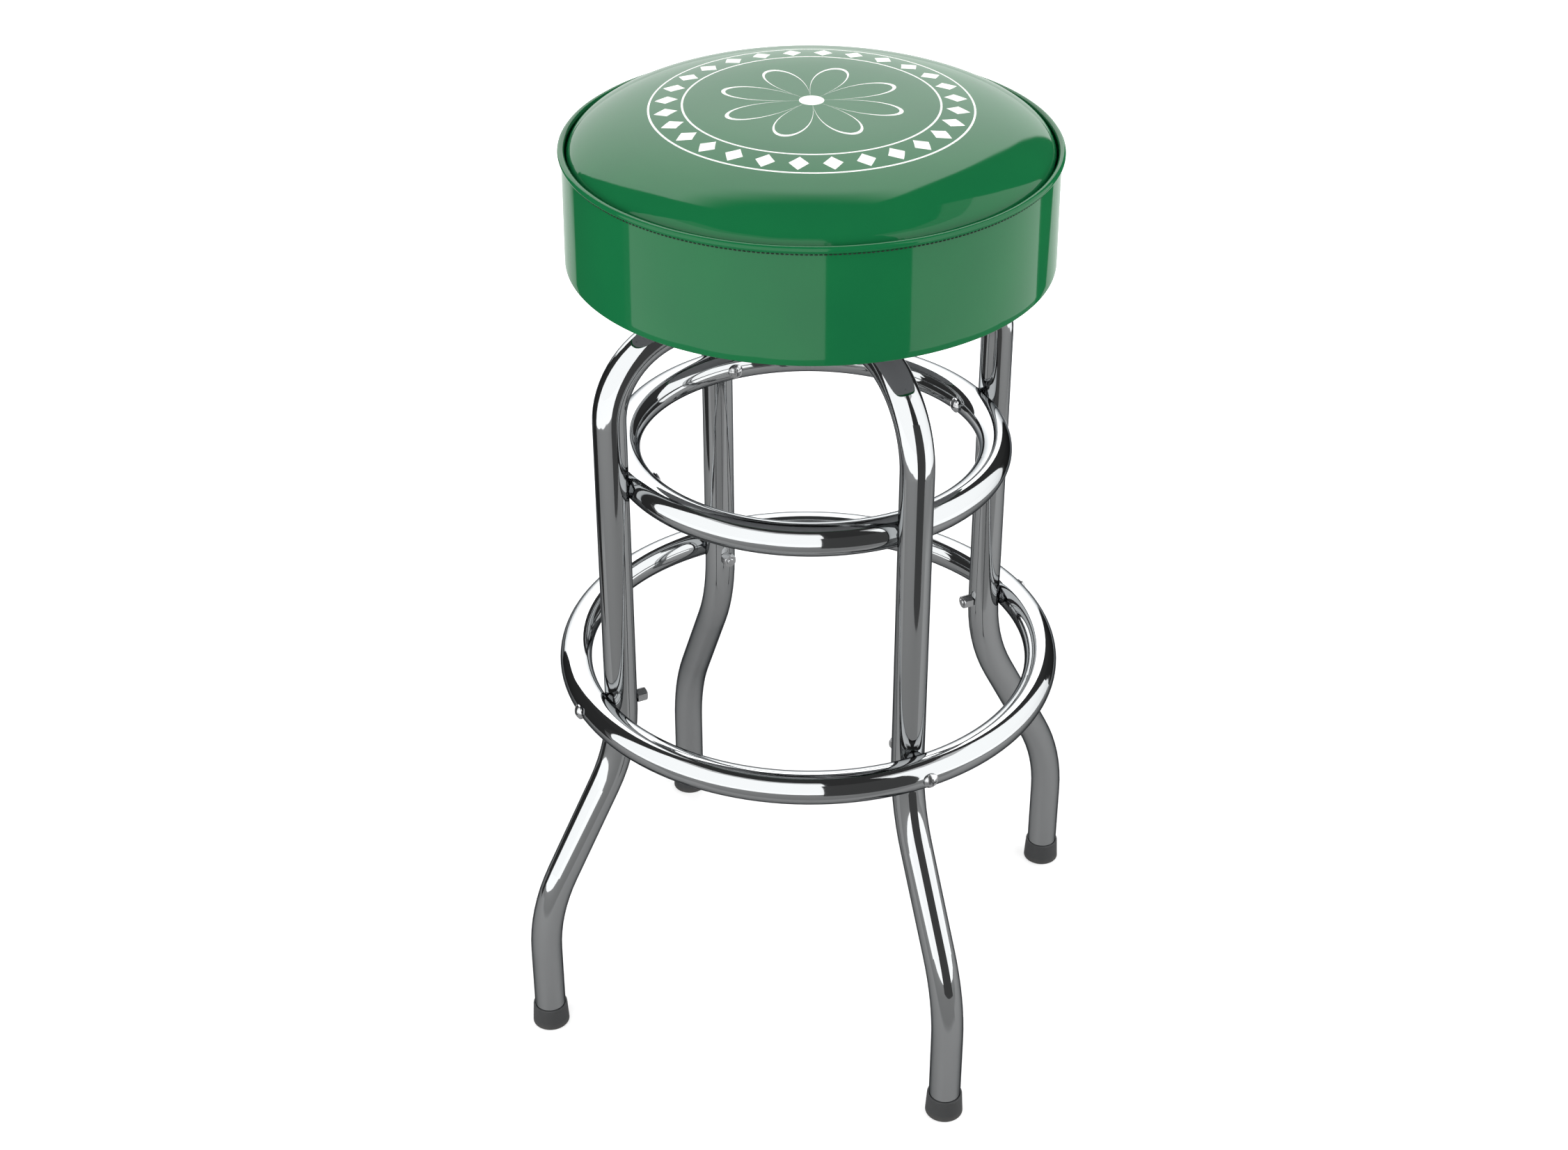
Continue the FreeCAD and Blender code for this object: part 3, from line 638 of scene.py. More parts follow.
def extrude_rings(piece: bpy.types.Object, start: tuple[float, float], profile: Profile) -> None:
    """Extrude the piece's only ring along a profile of radii and heights.

    Args:
        piece: A ring from start_ring.
        start: The ring's own radius and height.
        profile: The radius and height of each next ring, in metres.
    """
    bpy.context.view_layer.objects.active = piece
    bpy.ops.object.mode_set(mode="EDIT")
    bpy.ops.mesh.select_all(action="SELECT")
    radius, height = start
    for next_radius, next_height in profile:
        lift = (0.0, 0.0, next_height - height)
        bpy.ops.mesh.extrude_region_move(TRANSFORM_OT_translate={"value": lift})
        ratio = next_radius / radius
        bpy.ops.transform.resize(value=(ratio, ratio, 1.0), center_override=ORIGIN)
        radius, height = next_radius, next_height
    bpy.ops.object.mode_set(mode="OBJECT")


def arc(centre: tuple[float, float], radius: float, first: float, last: float, steps: int) -> Profile:
    """Points of an arc in the profile's plane.

    Args:
        centre: The arc's centre, as a radius and a height.
        radius: The arc's own radius.
        first: The angle of its first point in degrees, 0 pointing outwards and 90 up.
        last: The angle of its last point.
        steps: How many stretches it is divided into.

    Returns:
        The points, both ends among them.
    """
    angles = [math.radians(first + (last - first) * i / steps) for i in range(steps + 1)]
    return [(centre[0] + radius * math.cos(a), centre[1] + radius * math.sin(a)) for a in angles]


def apply_modifier(piece: bpy.types.Object, kind: str, **settings: Any) -> None:
    """Add a modifier with its settings and apply it at once.

    Args:
        piece: The object it works on.
        kind: The modifier's Blender type name.
        settings: The modifier's properties.
    """
    bpy.context.view_layer.objects.active = piece
    modifier = piece.modifiers.new(kind.lower(), kind)
    for key, value in settings.items():
        setattr(modifier, key, value)
    bpy.ops.object.modifier_apply(modifier=modifier.name)


def close_surface(piece: bpy.types.Object, merge: float = 0.01 * MM) -> None:
    """Merge doubled points and turn the faces outwards.

    Args:
        piece: The object to mend.
        merge: Points closer than this are merged, in metres.
    """
    bpy.ops.object.select_all(action="DESELECT")
    piece.select_set(True)
    bpy.context.view_layer.objects.active = piece
    bpy.ops.object.mode_set(mode="EDIT")
    bpy.ops.mesh.select_all(action="SELECT")
    bpy.ops.mesh.remove_doubles(threshold=merge)
    bpy.ops.mesh.normals_make_consistent(inside=False)
    bpy.ops.object.mode_set(mode="OBJECT")


def nudge(piece: bpy.types.Object, shift: Callable[[Vector], Vector]) -> None:
    """Move each point of a piece by what shift gives for its place."""
    for vertex in piece.data.vertices:
        vertex.co += shift(vertex.co)


def smooth_faces(piece: bpy.types.Object, angle: float = 40.0) -> None:
    """Shade the piece smooth, apart from edges sharper than the angle in degrees."""
    bpy.ops.object.select_all(action="DESELECT")
    piece.select_set(True)
    bpy.context.view_layer.objects.active = piece
    bpy.ops.object.shade_smooth_by_angle(angle=math.radians(angle))


def dress_piece(piece: bpy.types.Object, material: bpy.types.Material) -> None:
    """Give a seat piece its material, and let it ride on the seat."""
    piece.data.materials.clear()
    piece.data.materials.append(material)
    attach(piece, "seat")
    LOG.info("%s: %d faces", piece.name, len(piece.data.polygons))


@dataclass
class Cushion:
    """Foam pad with its crowned vinyl top, as one stuffed form.

    Above the seam, at a given share of the seam's radius, the top stands at
    (1 - share ** flatness) ** roundness of the crown's rise. The simulated skin is then
    evened out by angle about a middle below the board, all but a trace of unevenness.
    """

    board_top: float = field(default_factory=lambda: node_span("seat_board")[1])
    crown: float = field(default_factory=lambda: node_span("seat_cover_top")[1])
    welt_low: float = field(default_factory=lambda: node_span("seat_welt")[0])
    seam_radius: float = field(default_factory=lambda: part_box("seat_cover_top")[1][0])
    foot_inset: float = 4.0 * MM
    foot_gap: float = 0.4 * MM
    foot_rise: float = 5.0 * MM
    side_inset: float = 3.4 * MM
    edge_inset: float = 0.9 * MM
    edge_rise: float = 2.6 * MM
    flatness: float = 4.0
    roundness: float = 0.82
    slack: float = 0.4 * MM
    swell: float = 2.0 * MM
    segments: int = 144
    crown_rings: int = 48
    voxel: float = 4.0 * MM
    pressure: float = 4.0
    stretch_stiffness: float = 40.0
    bending_stiffness: float = 20.0
    cloth_frames: int = 20
    smoothing: int = 6
    outline_steps: int = 360
    outline_passes: int = 10
    unevenness: float = 0.12
    middle_depth: float = 100.0 * MM

    def build(self) -> bpy.types.Object:
        """Turn the form, swell it and give it a fine smooth skin.

        Returns:
            The cushion.
        """
        side = self.seam_radius - self.side_inset
        start = (side - self.foot_inset, self.board_top + self.foot_gap)
        piece = start_ring("seat_cushion", *start, self.segments)
        bpy.ops.object.mode_set(mode="EDIT")
        bpy.ops.mesh.select_all(action="SELECT")
        bpy.ops.mesh.edge_face_add()
        bpy.ops.object.mode_set(mode="OBJECT")
        extrude_rings(piece, start, self.profile(side))
        bpy.ops.object.mode_set(mode="EDIT")
        bpy.ops.mesh.merge(type="CENTER")
        bpy.ops.object.mode_set(mode="OBJECT")
        close_surface(piece)
        self.swell_skin(piece)
        smooth_faces(piece, 60.0)
        return piece

    def profile(self, side: float) -> Profile:
        """Radii and heights from the foam's foot up over the shoulder to the crown.

        Args:
            side: Radius of the pad's side.

        Returns:
            The rings after the first, the last one small enough to close.
        """
        edge = (self.seam_radius - self.edge_inset, self.welt_low + self.edge_rise)
        rise = self.crown - self.slack - edge[1]
        rings = [(side, self.board_top + self.foot_rise), (side, self.welt_low), edge]
        for i in range(1, self.crown_rings + 1):
            share = math.cos(math.pi / 2 * i / (self.crown_rings + 0.5))
            height = (1 - share ** self.flatness) ** self.roundness
            rings.append((edge[0] * share, edge[1] + rise * height))
        return rings

    def swell_skin(self, piece: bpy.types.Object) -> None:
        """Fill the form from inside as foam fills its cover, then smooth the skin.

        Args:
            piece: The turned form, which becomes the stuffed one.
        """
        apply_modifier(piece, "REMESH", mode="VOXEL", voxel_size=self.voxel)
        held = piece.vertex_groups.new(name="held_by_the_seam")
        low = [v.index for v in piece.data.vertices if v.co.z < self.welt_low + self.edge_rise]
        held.add(low, 1.0, "REPLACE")
        before = [v.co.copy() for v in piece.data.vertices]
        cloth = piece.modifiers.new("cloth", "CLOTH")
        cloth.settings.use_pressure = True
        cloth.settings.uniform_pressure_force = self.pressure
        cloth.settings.tension_stiffness = self.stretch_stiffness
        cloth.settings.compression_stiffness = self.stretch_stiffness
        cloth.settings.bending_stiffness = self.bending_stiffness
        cloth.settings.vertex_group_mass = held.name
        cloth.settings.effector_weights.gravity = 0.0
        cloth.point_cache.frame_end = self.cloth_frames
        scene = bpy.context.scene
        for step in range(1, self.cloth_frames + 1):
            scene.frame_set(step)
        bpy.context.view_layer.objects.active = piece
        bpy.ops.object.modifier_apply(modifier=cloth.name)
        scene.frame_set(1)
        for vertex, old in zip(piece.data.vertices, before):
            moved = vertex.co - old
            vertex.co = old + moved * (self.swell / (self.swell + moved.length))
        piece.vertex_groups.clear()
        apply_modifier(piece, "SMOOTH", factor=0.5, iterations=self.smoothing)
        apply_modifier(piece, "SUBSURF", levels=1, render_levels=1)
        self.draw_taut(piece)

    def draw_taut(self, piece: bpy.types.Object) -> None:
        """Pull the skin to its mean outline but for a trace, as a stretched cover lies.

        Args:
            piece: The stuffed form, whose points are moved along the line from its middle.
        """
        step = math.pi / 2 / self.outline_steps
        middle = Vector((0.0, 0.0, self.board_top - self.middle_depth))
        places = []
        reaches: list[list[float]] = [[] for _ in range(self.outline_steps + 1)]
        for vertex in piece.data.vertices:
            place = vertex.co - middle
            height = math.atan2(place.z, math.hypot(place.x, place.y)) / step
            places.append((place, height))
            if vertex.co.z > self.welt_low:
                reaches[round(height)].append(place.length)
        outline = [sum(found) / len(found) if found else 0.0 for found in reaches]
        for i in reversed(range(self.outline_steps)):
            outline[i] = outline[i] or outline[i + 1]
        for i in range(self.outline_steps):
            outline[i + 1] = outline[i + 1] or outline[i]
        for _ in range(self.outline_passes):
            wide = [outline[0]] + outline + [outline[-1]]
            outline = [(a + 2 * b + c) / 4 for a, b, c in zip(wide, wide[1:], wide[2:])]
        for vertex, (place, height) in zip(piece.data.vertices, places):
            if vertex.co.z <= self.welt_low:
                continue
            below = min(int(height), self.outline_steps - 1)
            mean = outline[below] + (outline[below + 1] - outline[below]) * (height - below)
            reach = mean + (place.length - mean) * self.unevenness
            vertex.co = middle + place * (reach / place.length)


@dataclass
class Band:
    """Vinyl band round the seat's side, folded under and stapled to the board.

    The wall leans in towards the top, and the hem puckers between two staples.
    """

    reach: float = field(default_factory=lambda: node_reach("seat_cover_band"))
    foot: float = field(default_factory=lambda: node_span("seat_cover_band")[0])
    top: float = field(default_factory=lambda: node_span("seat_cover_band")[1])
    lean: float = 1.0 * MM
    fold: float = 1.5 * MM
    hem: float = 26.0 * MM
    thickness: float = 1.2 * MM
    segments: int = 288
    wall_rings: int = 16
    hem_rings: int = 6
    staples: int = 24
    pucker: float = 0.35 * MM
    pucker_from: float = 0.1
    level: float = 0.1 * MM
    overlap: float = 20.0 * MM

    def build(self) -> bpy.types.Object:
        """Turn the band, pucker its hem and give it thickness.

        Returns:
            The band.
        """
        start = (self.reach - self.lean, self.top)
        piece = start_ring("seat_band", *start, self.segments)
        extrude_rings(piece, start, self.profile())
        close_surface(piece)
        nudge(piece, self.shape_hem)
        inside = {"offset": -1.0, "use_even_offset": True}
        apply_modifier(piece, "SOLIDIFY", thickness=self.thickness, **inside)
        smooth_faces(piece, 50.0)
        return piece

    def profile(self) -> Profile:
        """Radii and heights down the wall, round the fold and in along the board."""
        fold_top = self.foot + self.fold
        rings = []
        for i in range(1, self.wall_rings + 1):
            share = i / self.wall_rings
            rings.append((self.reach - self.lean * (1 - share), self.top + (fold_top - self.top) * share))
        rings += arc((self.reach - self.fold, fold_top), self.fold, 0, -90, 5)[1:]
        inner = self.reach - self.hem
        outer = self.reach - self.fold
        for i in range(1, self.hem_rings + 1):
            rings.append((outer + (inner - outer) * i / self.hem_rings, self.foot))
        return rings

    def shape_hem(self, place: Vector) -> Vector:
        """Sag of the gathered hem between two staples, none on the wall."""
        radius = math.hypot(place.x, place.y)
        inward = (self.reach - radius) / self.hem
        if place.z > self.foot + self.level or inward <= self.pucker_from:
            return Vector(ORIGIN)
        turn = math.atan2(place.y, place.x)
        between = (1 - math.cos(turn * self.staples)) / 2
        return Vector((0, 0, -self.pucker * between * inward))

    def flat_size(self) -> tuple[float, float]:
        """Length and width of the strip before it is sewn to a ring."""
        return (FULL_TURN * self.reach + self.overlap, self.top - self.foot + self.hem)


@dataclass
class Piping:
    """Piping of cord in a vinyl sleeve, sewn between the top and the band."""

    ring: float = field(default_factory=lambda: node_reach("seat_welt"))
    low: float = field(default_factory=lambda: node_span("seat_welt")[0])
    high: float = field(default_factory=lambda: node_span("seat_welt")[1])
    sides: int = 16
    segments: int = 288
    wave: float = 0.12 * MM
    wave_length: float = 28.0 * MM
    other_wave: tuple[float, float, float] = (7.0, 0.0, 3.0)
    join_dip: float = 1.1 * MM
    join_width: float = 3.5 * MM

    def build(self) -> bpy.types.Object:
        """Spin the cord's section round the seat and dip its ends at the join.

        Returns:
            The piping.
        """
        cord = (self.high - self.low) / 2
        bpy.ops.object.select_all(action="DESELECT")
        bpy.ops.mesh.primitive_circle_add(
            vertices=self.sides,
            radius=cord,
            location=(self.ring - cord, 0, self.low + cord),
            rotation=(math.pi / 2, 0, 0),
        )
        piece = bpy.context.object
        piece.name = "seat_piping"
        bpy.ops.object.transform_apply(location=True, rotation=True, scale=True)
        bpy.ops.object.mode_set(mode="EDIT")
        bpy.ops.mesh.select_all(action="SELECT")
        bpy.ops.mesh.spin(steps=self.segments, angle=FULL_TURN, center=ORIGIN, axis=UPWARDS)
        bpy.ops.object.mode_set(mode="OBJECT")
        close_surface(piece)
        nudge(piece, self.settle)
        smooth_faces(piece, 60.0)
        return piece

    def settle(self, place: Vector) -> Vector:
        """Slight waviness of a hand-fed cord, and the dip where its ends meet."""
        turn = math.atan2(place.y, place.x)
        outward = Vector((math.cos(turn), math.sin(turn), 0.0))
        spot = outward * (self.ring / self.wave_length)
        away = (turn - BACK) * self.ring / self.join_width
        dip = self.join_dip * math.exp(-away * away)
        shift = outward * (self.wave * noise.noise(spot) - dip)
        shift.z = self.wave * noise.noise(spot + Vector(self.other_wave)) - dip / 2
        return shift


@dataclass
class Stitching:
    """Lock stitches of the seam under the piping, thread by thread.

    The real pitch is about 2.4 mm. It is drawn coarser here, so that the stitches show.
    """

    ring: float = field(default_factory=lambda: node_reach("seat_stitching"))
    low: float = field(default_factory=lambda: node_span("seat_stitching")[0])
    high: float = field(default_factory=lambda: node_span("seat_stitching")[1])
    pitch: float = 3.2 * MM
    length: float = 2.5 * MM
    sides: int = 6
    full_share: float = 0.72
    end_share: float = 0.5
    dive: float = 0.45 * MM

    def build(self) -> bpy.types.Object:
        """Model one stitch and repeat it round the seat.

        Returns:
            All the stitches as one piece.
        """
        thread = (self.high - self.low) / 2
        half = self.length / 2
        start = (thread * self.end_share, -half)
        full = half * self.full_share
        piece = start_ring("seat_seam_stitches", *start, self.sides)
        bpy.ops.object.mode_set(mode="EDIT")
        bpy.ops.mesh.select_all(action="SELECT")
        bpy.ops.mesh.edge_face_add()
        bpy.ops.object.mode_set(mode="OBJECT")
        extrude_rings(piece, start, [(thread, -full), (thread, 0.0), (thread, full), (start[0], half)])
        close_surface(piece)
        nudge(piece, lambda place: Vector((-self.dive * (place.z / half) ** 2, 0, 0)))
        piece.rotation_euler = (-math.pi / 2, 0, 0)
        piece.location = (self.ring - thread, 0, self.low + thread)
        bpy.ops.object.transform_apply(location=True, rotation=True, scale=True)
        count = round(FULL_TURN * self.ring / self.pitch)
        bpy.ops.object.mode_set(mode="EDIT")
        bpy.ops.mesh.select_all(action="SELECT")
        bpy.ops.mesh.spin(
            steps=count - 1,
            dupli=True,
            angle=FULL_TURN * (count - 1) / count,
            center=ORIGIN,
            axis=UPWARDS,
        )
        bpy.ops.object.mode_set(mode="OBJECT")
        smooth_faces(piece, 60.0)
        return piece


@dataclass
class DustCloth:
    """Grey cloth stapled under the board, with a hole for the swivel's pin."""

    reach: float = field(default_factory=lambda: node_reach("seat_dust_cover"))
    low: float = field(default_factory=lambda: node_span("seat_dust_cover")[0])
    board: float = field(default_factory=lambda: node_span("seat_board")[0])
    plate: float = field(default_factory=lambda: node_reach("swivel_upper_plate"))
    hole: float = 17.0 * MM
    thickness: float = 0.5 * MM
    segments: int = 144
    rings: int = 24
    staples: int = 24
    sag: float = 1.4 * MM
    pucker: float = 0.35 * MM

    def build(self) -> bpy.types.Object:
        """Turn the disc, let it sag between plate and staples, and thicken it.

        Returns:
            The cloth.
        """
        start = (self.reach, self.board - self.thickness)
        piece = start_ring("seat_dust_cloth", *start, self.segments)
        width = self.reach - self.hole
        profile = [(self.reach - width * i / self.rings, start[1]) for i in range(1, self.rings + 1)]
        extrude_rings(piece, start, profile)
        close_surface(piece)
        nudge(piece, self.hang)
        apply_modifier(piece, "SOLIDIFY", thickness=self.thickness, offset=0.0)
        smooth_faces(piece, 50.0)
        return piece

    def hang(self, place: Vector) -> Vector:
        """Sag between the swivel plate and the staples, and puckers at the edge."""
        radius = math.hypot(place.x, place.y)
        free = self.plate * math.sqrt(2)
        share = (radius - free) / (self.reach - free)
        if share <= 0:
            return Vector(ORIGIN)
        drop = self.board - self.low - self.thickness
        turn = math.atan2(place.y, place.x)
        between = (1 - math.cos(turn * self.staples)) / 2
        sag = self.sag * math.sin(math.pi * share) + drop * share ** 2 + self.pucker * between * share ** 4
        return Vector((0, 0, -sag))

    def cut_area(self) -> float:
        """Area of the cut cloth in square metres."""
        return math.pi * (self.reach ** 2 - self.hole ** 2)


@dataclass
class Seat:
    """The padded seat and all that is sewn to it."""

    cushion: Cushion = field(default_factory=Cushion)
    band: Band = field(default_factory=Band)
    piping: Piping = field(default_factory=Piping)
    stitching: Stitching = field(default_factory=Stitching)
    dust_cloth: DustCloth = field(default_factory=DustCloth)

    def build(self) -> None:
        """Build the seat's pieces, dress them and hide the frame's nodes that they replace."""
        vinyl = VINYL.build()
        cushion = self.cushion.build()
        dress_piece(cushion, PRINTED_VINYL.build())
        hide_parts("seat_foam_pad", "seat_cover_top")
        band = self.band.build()
        dress_piece(band, vinyl)
        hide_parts("seat_cover_band")
        self.band.flat_size()
        piping = self.piping.build()
        dress_piece(piping, vinyl)
        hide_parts("seat_welt")
        stitches = self.stitching.build()
        dress_piece(stitches, THREAD.build())
        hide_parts("seat_stitching")
        cloth = self.dust_cloth.build()
        dress_piece(cloth, DUST_CLOTH.build())
        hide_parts("seat_dust_cover")
        self.dust_cloth.cut_area()


@dataclass
class Metalwork:
    """The frame's own nodes, which keep their shape and get a finish."""

    finishes: dict[Finish, list[str]] = field(default_factory=lambda: NODE_FINISHES)

    def build(self) -> None:
        """Give every node that shows its material."""
        for finish, names in self.finishes.items():
            material = finish.build()
            for name in names:
                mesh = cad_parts[name].data
                mesh.materials.clear()
                mesh.materials.append(material)
            LOG.info("%s: %s", finish.name, ", ".join(names))


@dataclass(frozen=True)
class Viewpoint:
    """The photograph's camera."""

    place: tuple[float, float, float] = (0.4963, -1.5774, 1.4265)
    forward: tuple[float, float, float] = (-0.26255, 0.80122, -0.53769)
    lens_mm: float = 56.57
    sensor_mm: float = 36.0

    def build(self) -> None:
        """Add the camera and make it the scene's."""
        data = bpy.data.cameras.new("photo_view")
        data.lens = self.lens_mm
        data.sensor_width = self.sensor_mm
        camera = bpy.data.objects.new("photo_view", data)
        camera.location = self.place
        camera.rotation_euler = Vector(self.forward).to_track_quat("-Z", "Y").to_euler()
        bpy.context.collection.objects.link(camera)
        bpy.context.scene.camera = camera

    def bearing(self) -> float:
        """Direction from the swivel's axis to the camera over the floor, in radians."""
        return math.atan2(self.place[1], self.place[0])


@dataclass(frozen=True)
class Tier:
    """One height range of a soft box, with its radiance."""

    low: float
    high: float
    radiance: float


@dataclass(frozen=True)
class SoftBox:
    """A tall soft box bent round the stool, made of flat lamps side by side.

    Azimuths are counted from the camera's side, positive to the image's right.
    """

    name: str
    first: float
    last: float
    distance: float = 1.35
    panels: int = 3
    tiers: tuple[Tier, ...] = (Tier(0.0, 2.3, 2.15), Tier(2.3, 2.9, 0.9))

    def build(self, camera_bearing: float) -> None:
        """Add the lamps.

        Args:
            camera_bearing: Direction of the camera about the swivel's axis, in radians.
        """
        step = math.radians(self.last - self.first) / self.panels
        width = 2 * self.distance * math.tan(step / 2)
        for i in range(self.panels):
            turn = camera_bearing + math.radians(self.first) + step * (i + 0.5)
            for tier in self.tiers:
                self.add_lamp(turn, width, tier)

    def add_lamp(self, turn: float, width: float, tier: Tier) -> None:
        """Add one lamp that faces the swivel's axis.

        Args:
            turn: Its direction from the axis, in radians.
            width: Its width in metres.
            tier: Its height range and radiance.
        """
        height = tier.high - tier.low
        data = bpy.data.lights.new(self.name, "AREA")
        data.shape = "RECTANGLE"
        data.size = width
        data.size_y = height
        data.energy = tier.radiance * math.pi * width * height
        lamp = bpy.data.objects.new(self.name, data)
        middle = (tier.low + tier.high) / 2
        lamp.location = (self.distance * math.cos(turn), self.distance * math.sin(turn), middle)
        facing = Vector((-math.cos(turn), -math.sin(turn), 0.0))
        lamp.rotation_euler = facing.to_track_quat("-Z", "Y").to_euler()
        lamp.visible_camera = False
        bpy.context.collection.objects.link(lamp)


@dataclass(frozen=True)
class Flag:
    """A dark screen that only the shiny surfaces see, to give them something dark to mirror.

    Its two feet are given along and across the camera's bearing, in metres.
    """

    name: str
    first: tuple[float, float]
    last: tuple[float, float]
    high: float
    glow: float = 0.0

    def build(self, camera_bearing: float) -> None:
        """Add the screen, standing on the floor.

        Args:
            camera_bearing: Direction of the camera about the swivel's axis, in radians.
        """
        span = math.dist(self.first, self.last)
        middle = [(a + b) / 2 for a, b in zip(self.first, self.last)]
        slant = math.atan2(self.last[1] - self.first[1], self.last[0] - self.first[0])
        bpy.ops.object.select_all(action="DESELECT")
        bpy.ops.mesh.primitive_plane_add(size=1.0)
        screen = bpy.context.object
        screen.name = self.name
        screen.scale = (span, self.high, 1.0)
        screen.rotation_euler = (math.pi / 2, 0.0, camera_bearing + slant)
        along = Vector((math.cos(camera_bearing), math.sin(camera_bearing), 0.0))
        across = Vector((-along.y, along.x, 0.0))
        screen.location = along * middle[0] + across * middle[1] + Vector((0.0, 0.0, self.high / 2))
        material = bpy.data.materials.new(self.name + "_cloth")
        material.use_nodes = True
        shader = material.node_tree.nodes["Principled BSDF"]
        shader.inputs["Base Color"].default_value = BLACK
        shader.inputs["Specular IOR Level"].default_value = 0.0
        shader.inputs["Emission Color"].default_value = WHITE
        shader.inputs["Emission Strength"].default_value = self.glow
        screen.data.materials.append(material)
        screen.visible_camera = False
        screen.visible_diffuse = False
        screen.visible_shadow = False


@dataclass(frozen=True)
class Screen:
    """A pale screen that stands behind the stool, as a patch of the world.

    Angles are in degrees. Its ends are counted from straight behind the stool, positive to
    the image's right, and the range over which its top fades from the horizon.
    """

    left: float = -47.0
    right: float = 24.0
    edge: float = 1.5
    fade: tuple[float, float] = (53.5, 67.0)
    level: float = 1.4
    rise: float = 1.1
    rise_power: float = 1.2

    def radiance(self, tree: Tree, turn: Socket, up: Socket) -> Socket:
        """Work out how bright the screen is in each direction.

        Args:
            tree: The world's node tree.
            turn: Angle from straight behind, in radians.
            up: The direction's part upwards.

        Returns:
            The radiance, zero outside the screen.
        """
        above = add_node(tree, "ShaderNodeMath", {"operation": "MAXIMUM", 1: 0.0}, {0: up})
        rise = add_node(tree, "ShaderNodeMath", {"operation": "POWER", 1: self.rise_power}, {
            0: above.outputs["Value"],
        })
        pale = add_node(tree, "ShaderNodeMath", {
            "operation": "MULTIPLY_ADD", 1: self.rise, 2: self.level,
        }, {0: rise.outputs["Value"]})
        result = pale.outputs["Value"]
        limits = (
            (turn, math.radians(self.left - self.edge), math.radians(self.left)),
            (turn, math.radians(self.right + self.edge), math.radians(self.right)),
            (up, math.sin(math.radians(self.fade[1])), math.sin(math.radians(self.fade[0]))),
        )
        for place, outside, inside in limits:
            share = add_node(tree, "ShaderNodeMapRange", {
                "interpolation_type": "SMOOTHSTEP",
                "From Min": min(outside, inside),
                "From Max": max(outside, inside),
                "To Min": float(inside < outside),
                "To Max": float(outside < inside),
            }, {"Value": place})
            part = add_node(tree, "ShaderNodeMath", {"operation": "MULTIPLY"}, {
                0: result,
                1: share.outputs["Result"],
            })
            result = part.outputs["Value"]
        return result


@dataclass(frozen=True)
class Sky:
    """The room above the floor: dark walls, a pale screen behind and a grey ceiling.

    Shiny surfaces see the screen brighter than it lights the stool, and no ceiling.
    """

    screen: Screen = Screen()
    screen_gloss: float = 2.0
    wall_level: float = 0.06
    ceiling_level: float = 1.1
    ceiling_fade: tuple[float, float] = (55.0, 72.0)
    level_to_camera: float = 1.0

    def build(self, camera_bearing: float) -> None:
        """Make the world, turned so that its screen is behind the stool.

        Args:
            camera_bearing: Direction of the camera about the swivel's axis, in radians.
        """
        world = bpy.data.worlds.new("studio_room")
        world.use_nodes = True
        tree = world.node_tree
        background = tree.nodes["Background"]
        background.inputs["Color"].default_value = WHITE
        coords = add_node(tree, "ShaderNodeTexCoord")
        turned = add_node(tree, "ShaderNodeMapping", {
            "vector_type": "TEXTURE",
            "Rotation": (0.0, 0.0, camera_bearing),
        }, {"Vector": coords.outputs["Generated"]})
        axes = add_node(tree, "ShaderNodeSeparateXYZ", links={"Vector": turned.outputs["Vector"]})
        behind = add_node(tree, "ShaderNodeMath", {"operation": "MULTIPLY", 1: -1.0}, {
            0: axes.outputs["X"],
        })
        turn = add_node(tree, "ShaderNodeMath", {"operation": "ARCTAN2"}, {
            0: axes.outputs["Y"],
            1: behind.outputs["Value"],
        })
        ray = add_node(tree, "ShaderNodeLightPath")
        gain = add_node(tree, "ShaderNodeMath", {
            "operation": "MULTIPLY_ADD", 1: self.screen_gloss - 1, 2: 1.0,
        }, {0: ray.outputs["Is Glossy Ray"]})
        screen = add_node(tree, "ShaderNodeMath", {"operation": "MULTIPLY"}, {
            0: self.screen.radiance(tree, turn.outputs["Value"], axes.outputs["Z"]),
            1: gain.outputs["Value"],
        })
        ceiling = add_node(tree, "ShaderNodeMapRange", {
            "interpolation_type": "SMOOTHSTEP",
            "From Min": math.sin(math.radians(self.ceiling_fade[0])),
            "From Max": math.sin(math.radians(self.ceiling_fade[1])),
            "To Min": self.wall_level,
            "To Max": self.ceiling_level,
        }, {"Value": axes.outputs["Z"]})
        room = add_node(tree, "ShaderNodeMix", {3: self.wall_level}, {
            0: ray.outputs["Is Glossy Ray"],
            2: ceiling.outputs["Result"],
        })
        whole = add_node(tree, "ShaderNodeMath", {"operation": "ADD"}, {
            0: screen.outputs["Value"],
            1: room.outputs[0],
        })
        level = add_node(tree, "ShaderNodeMix", {3: self.level_to_camera}, {
            0: ray.outputs["Is Camera Ray"],
            2: whole.outputs["Value"],
        })
        tree.links.new(level.outputs[0], background.inputs["Strength"])
        bpy.context.scene.world = world


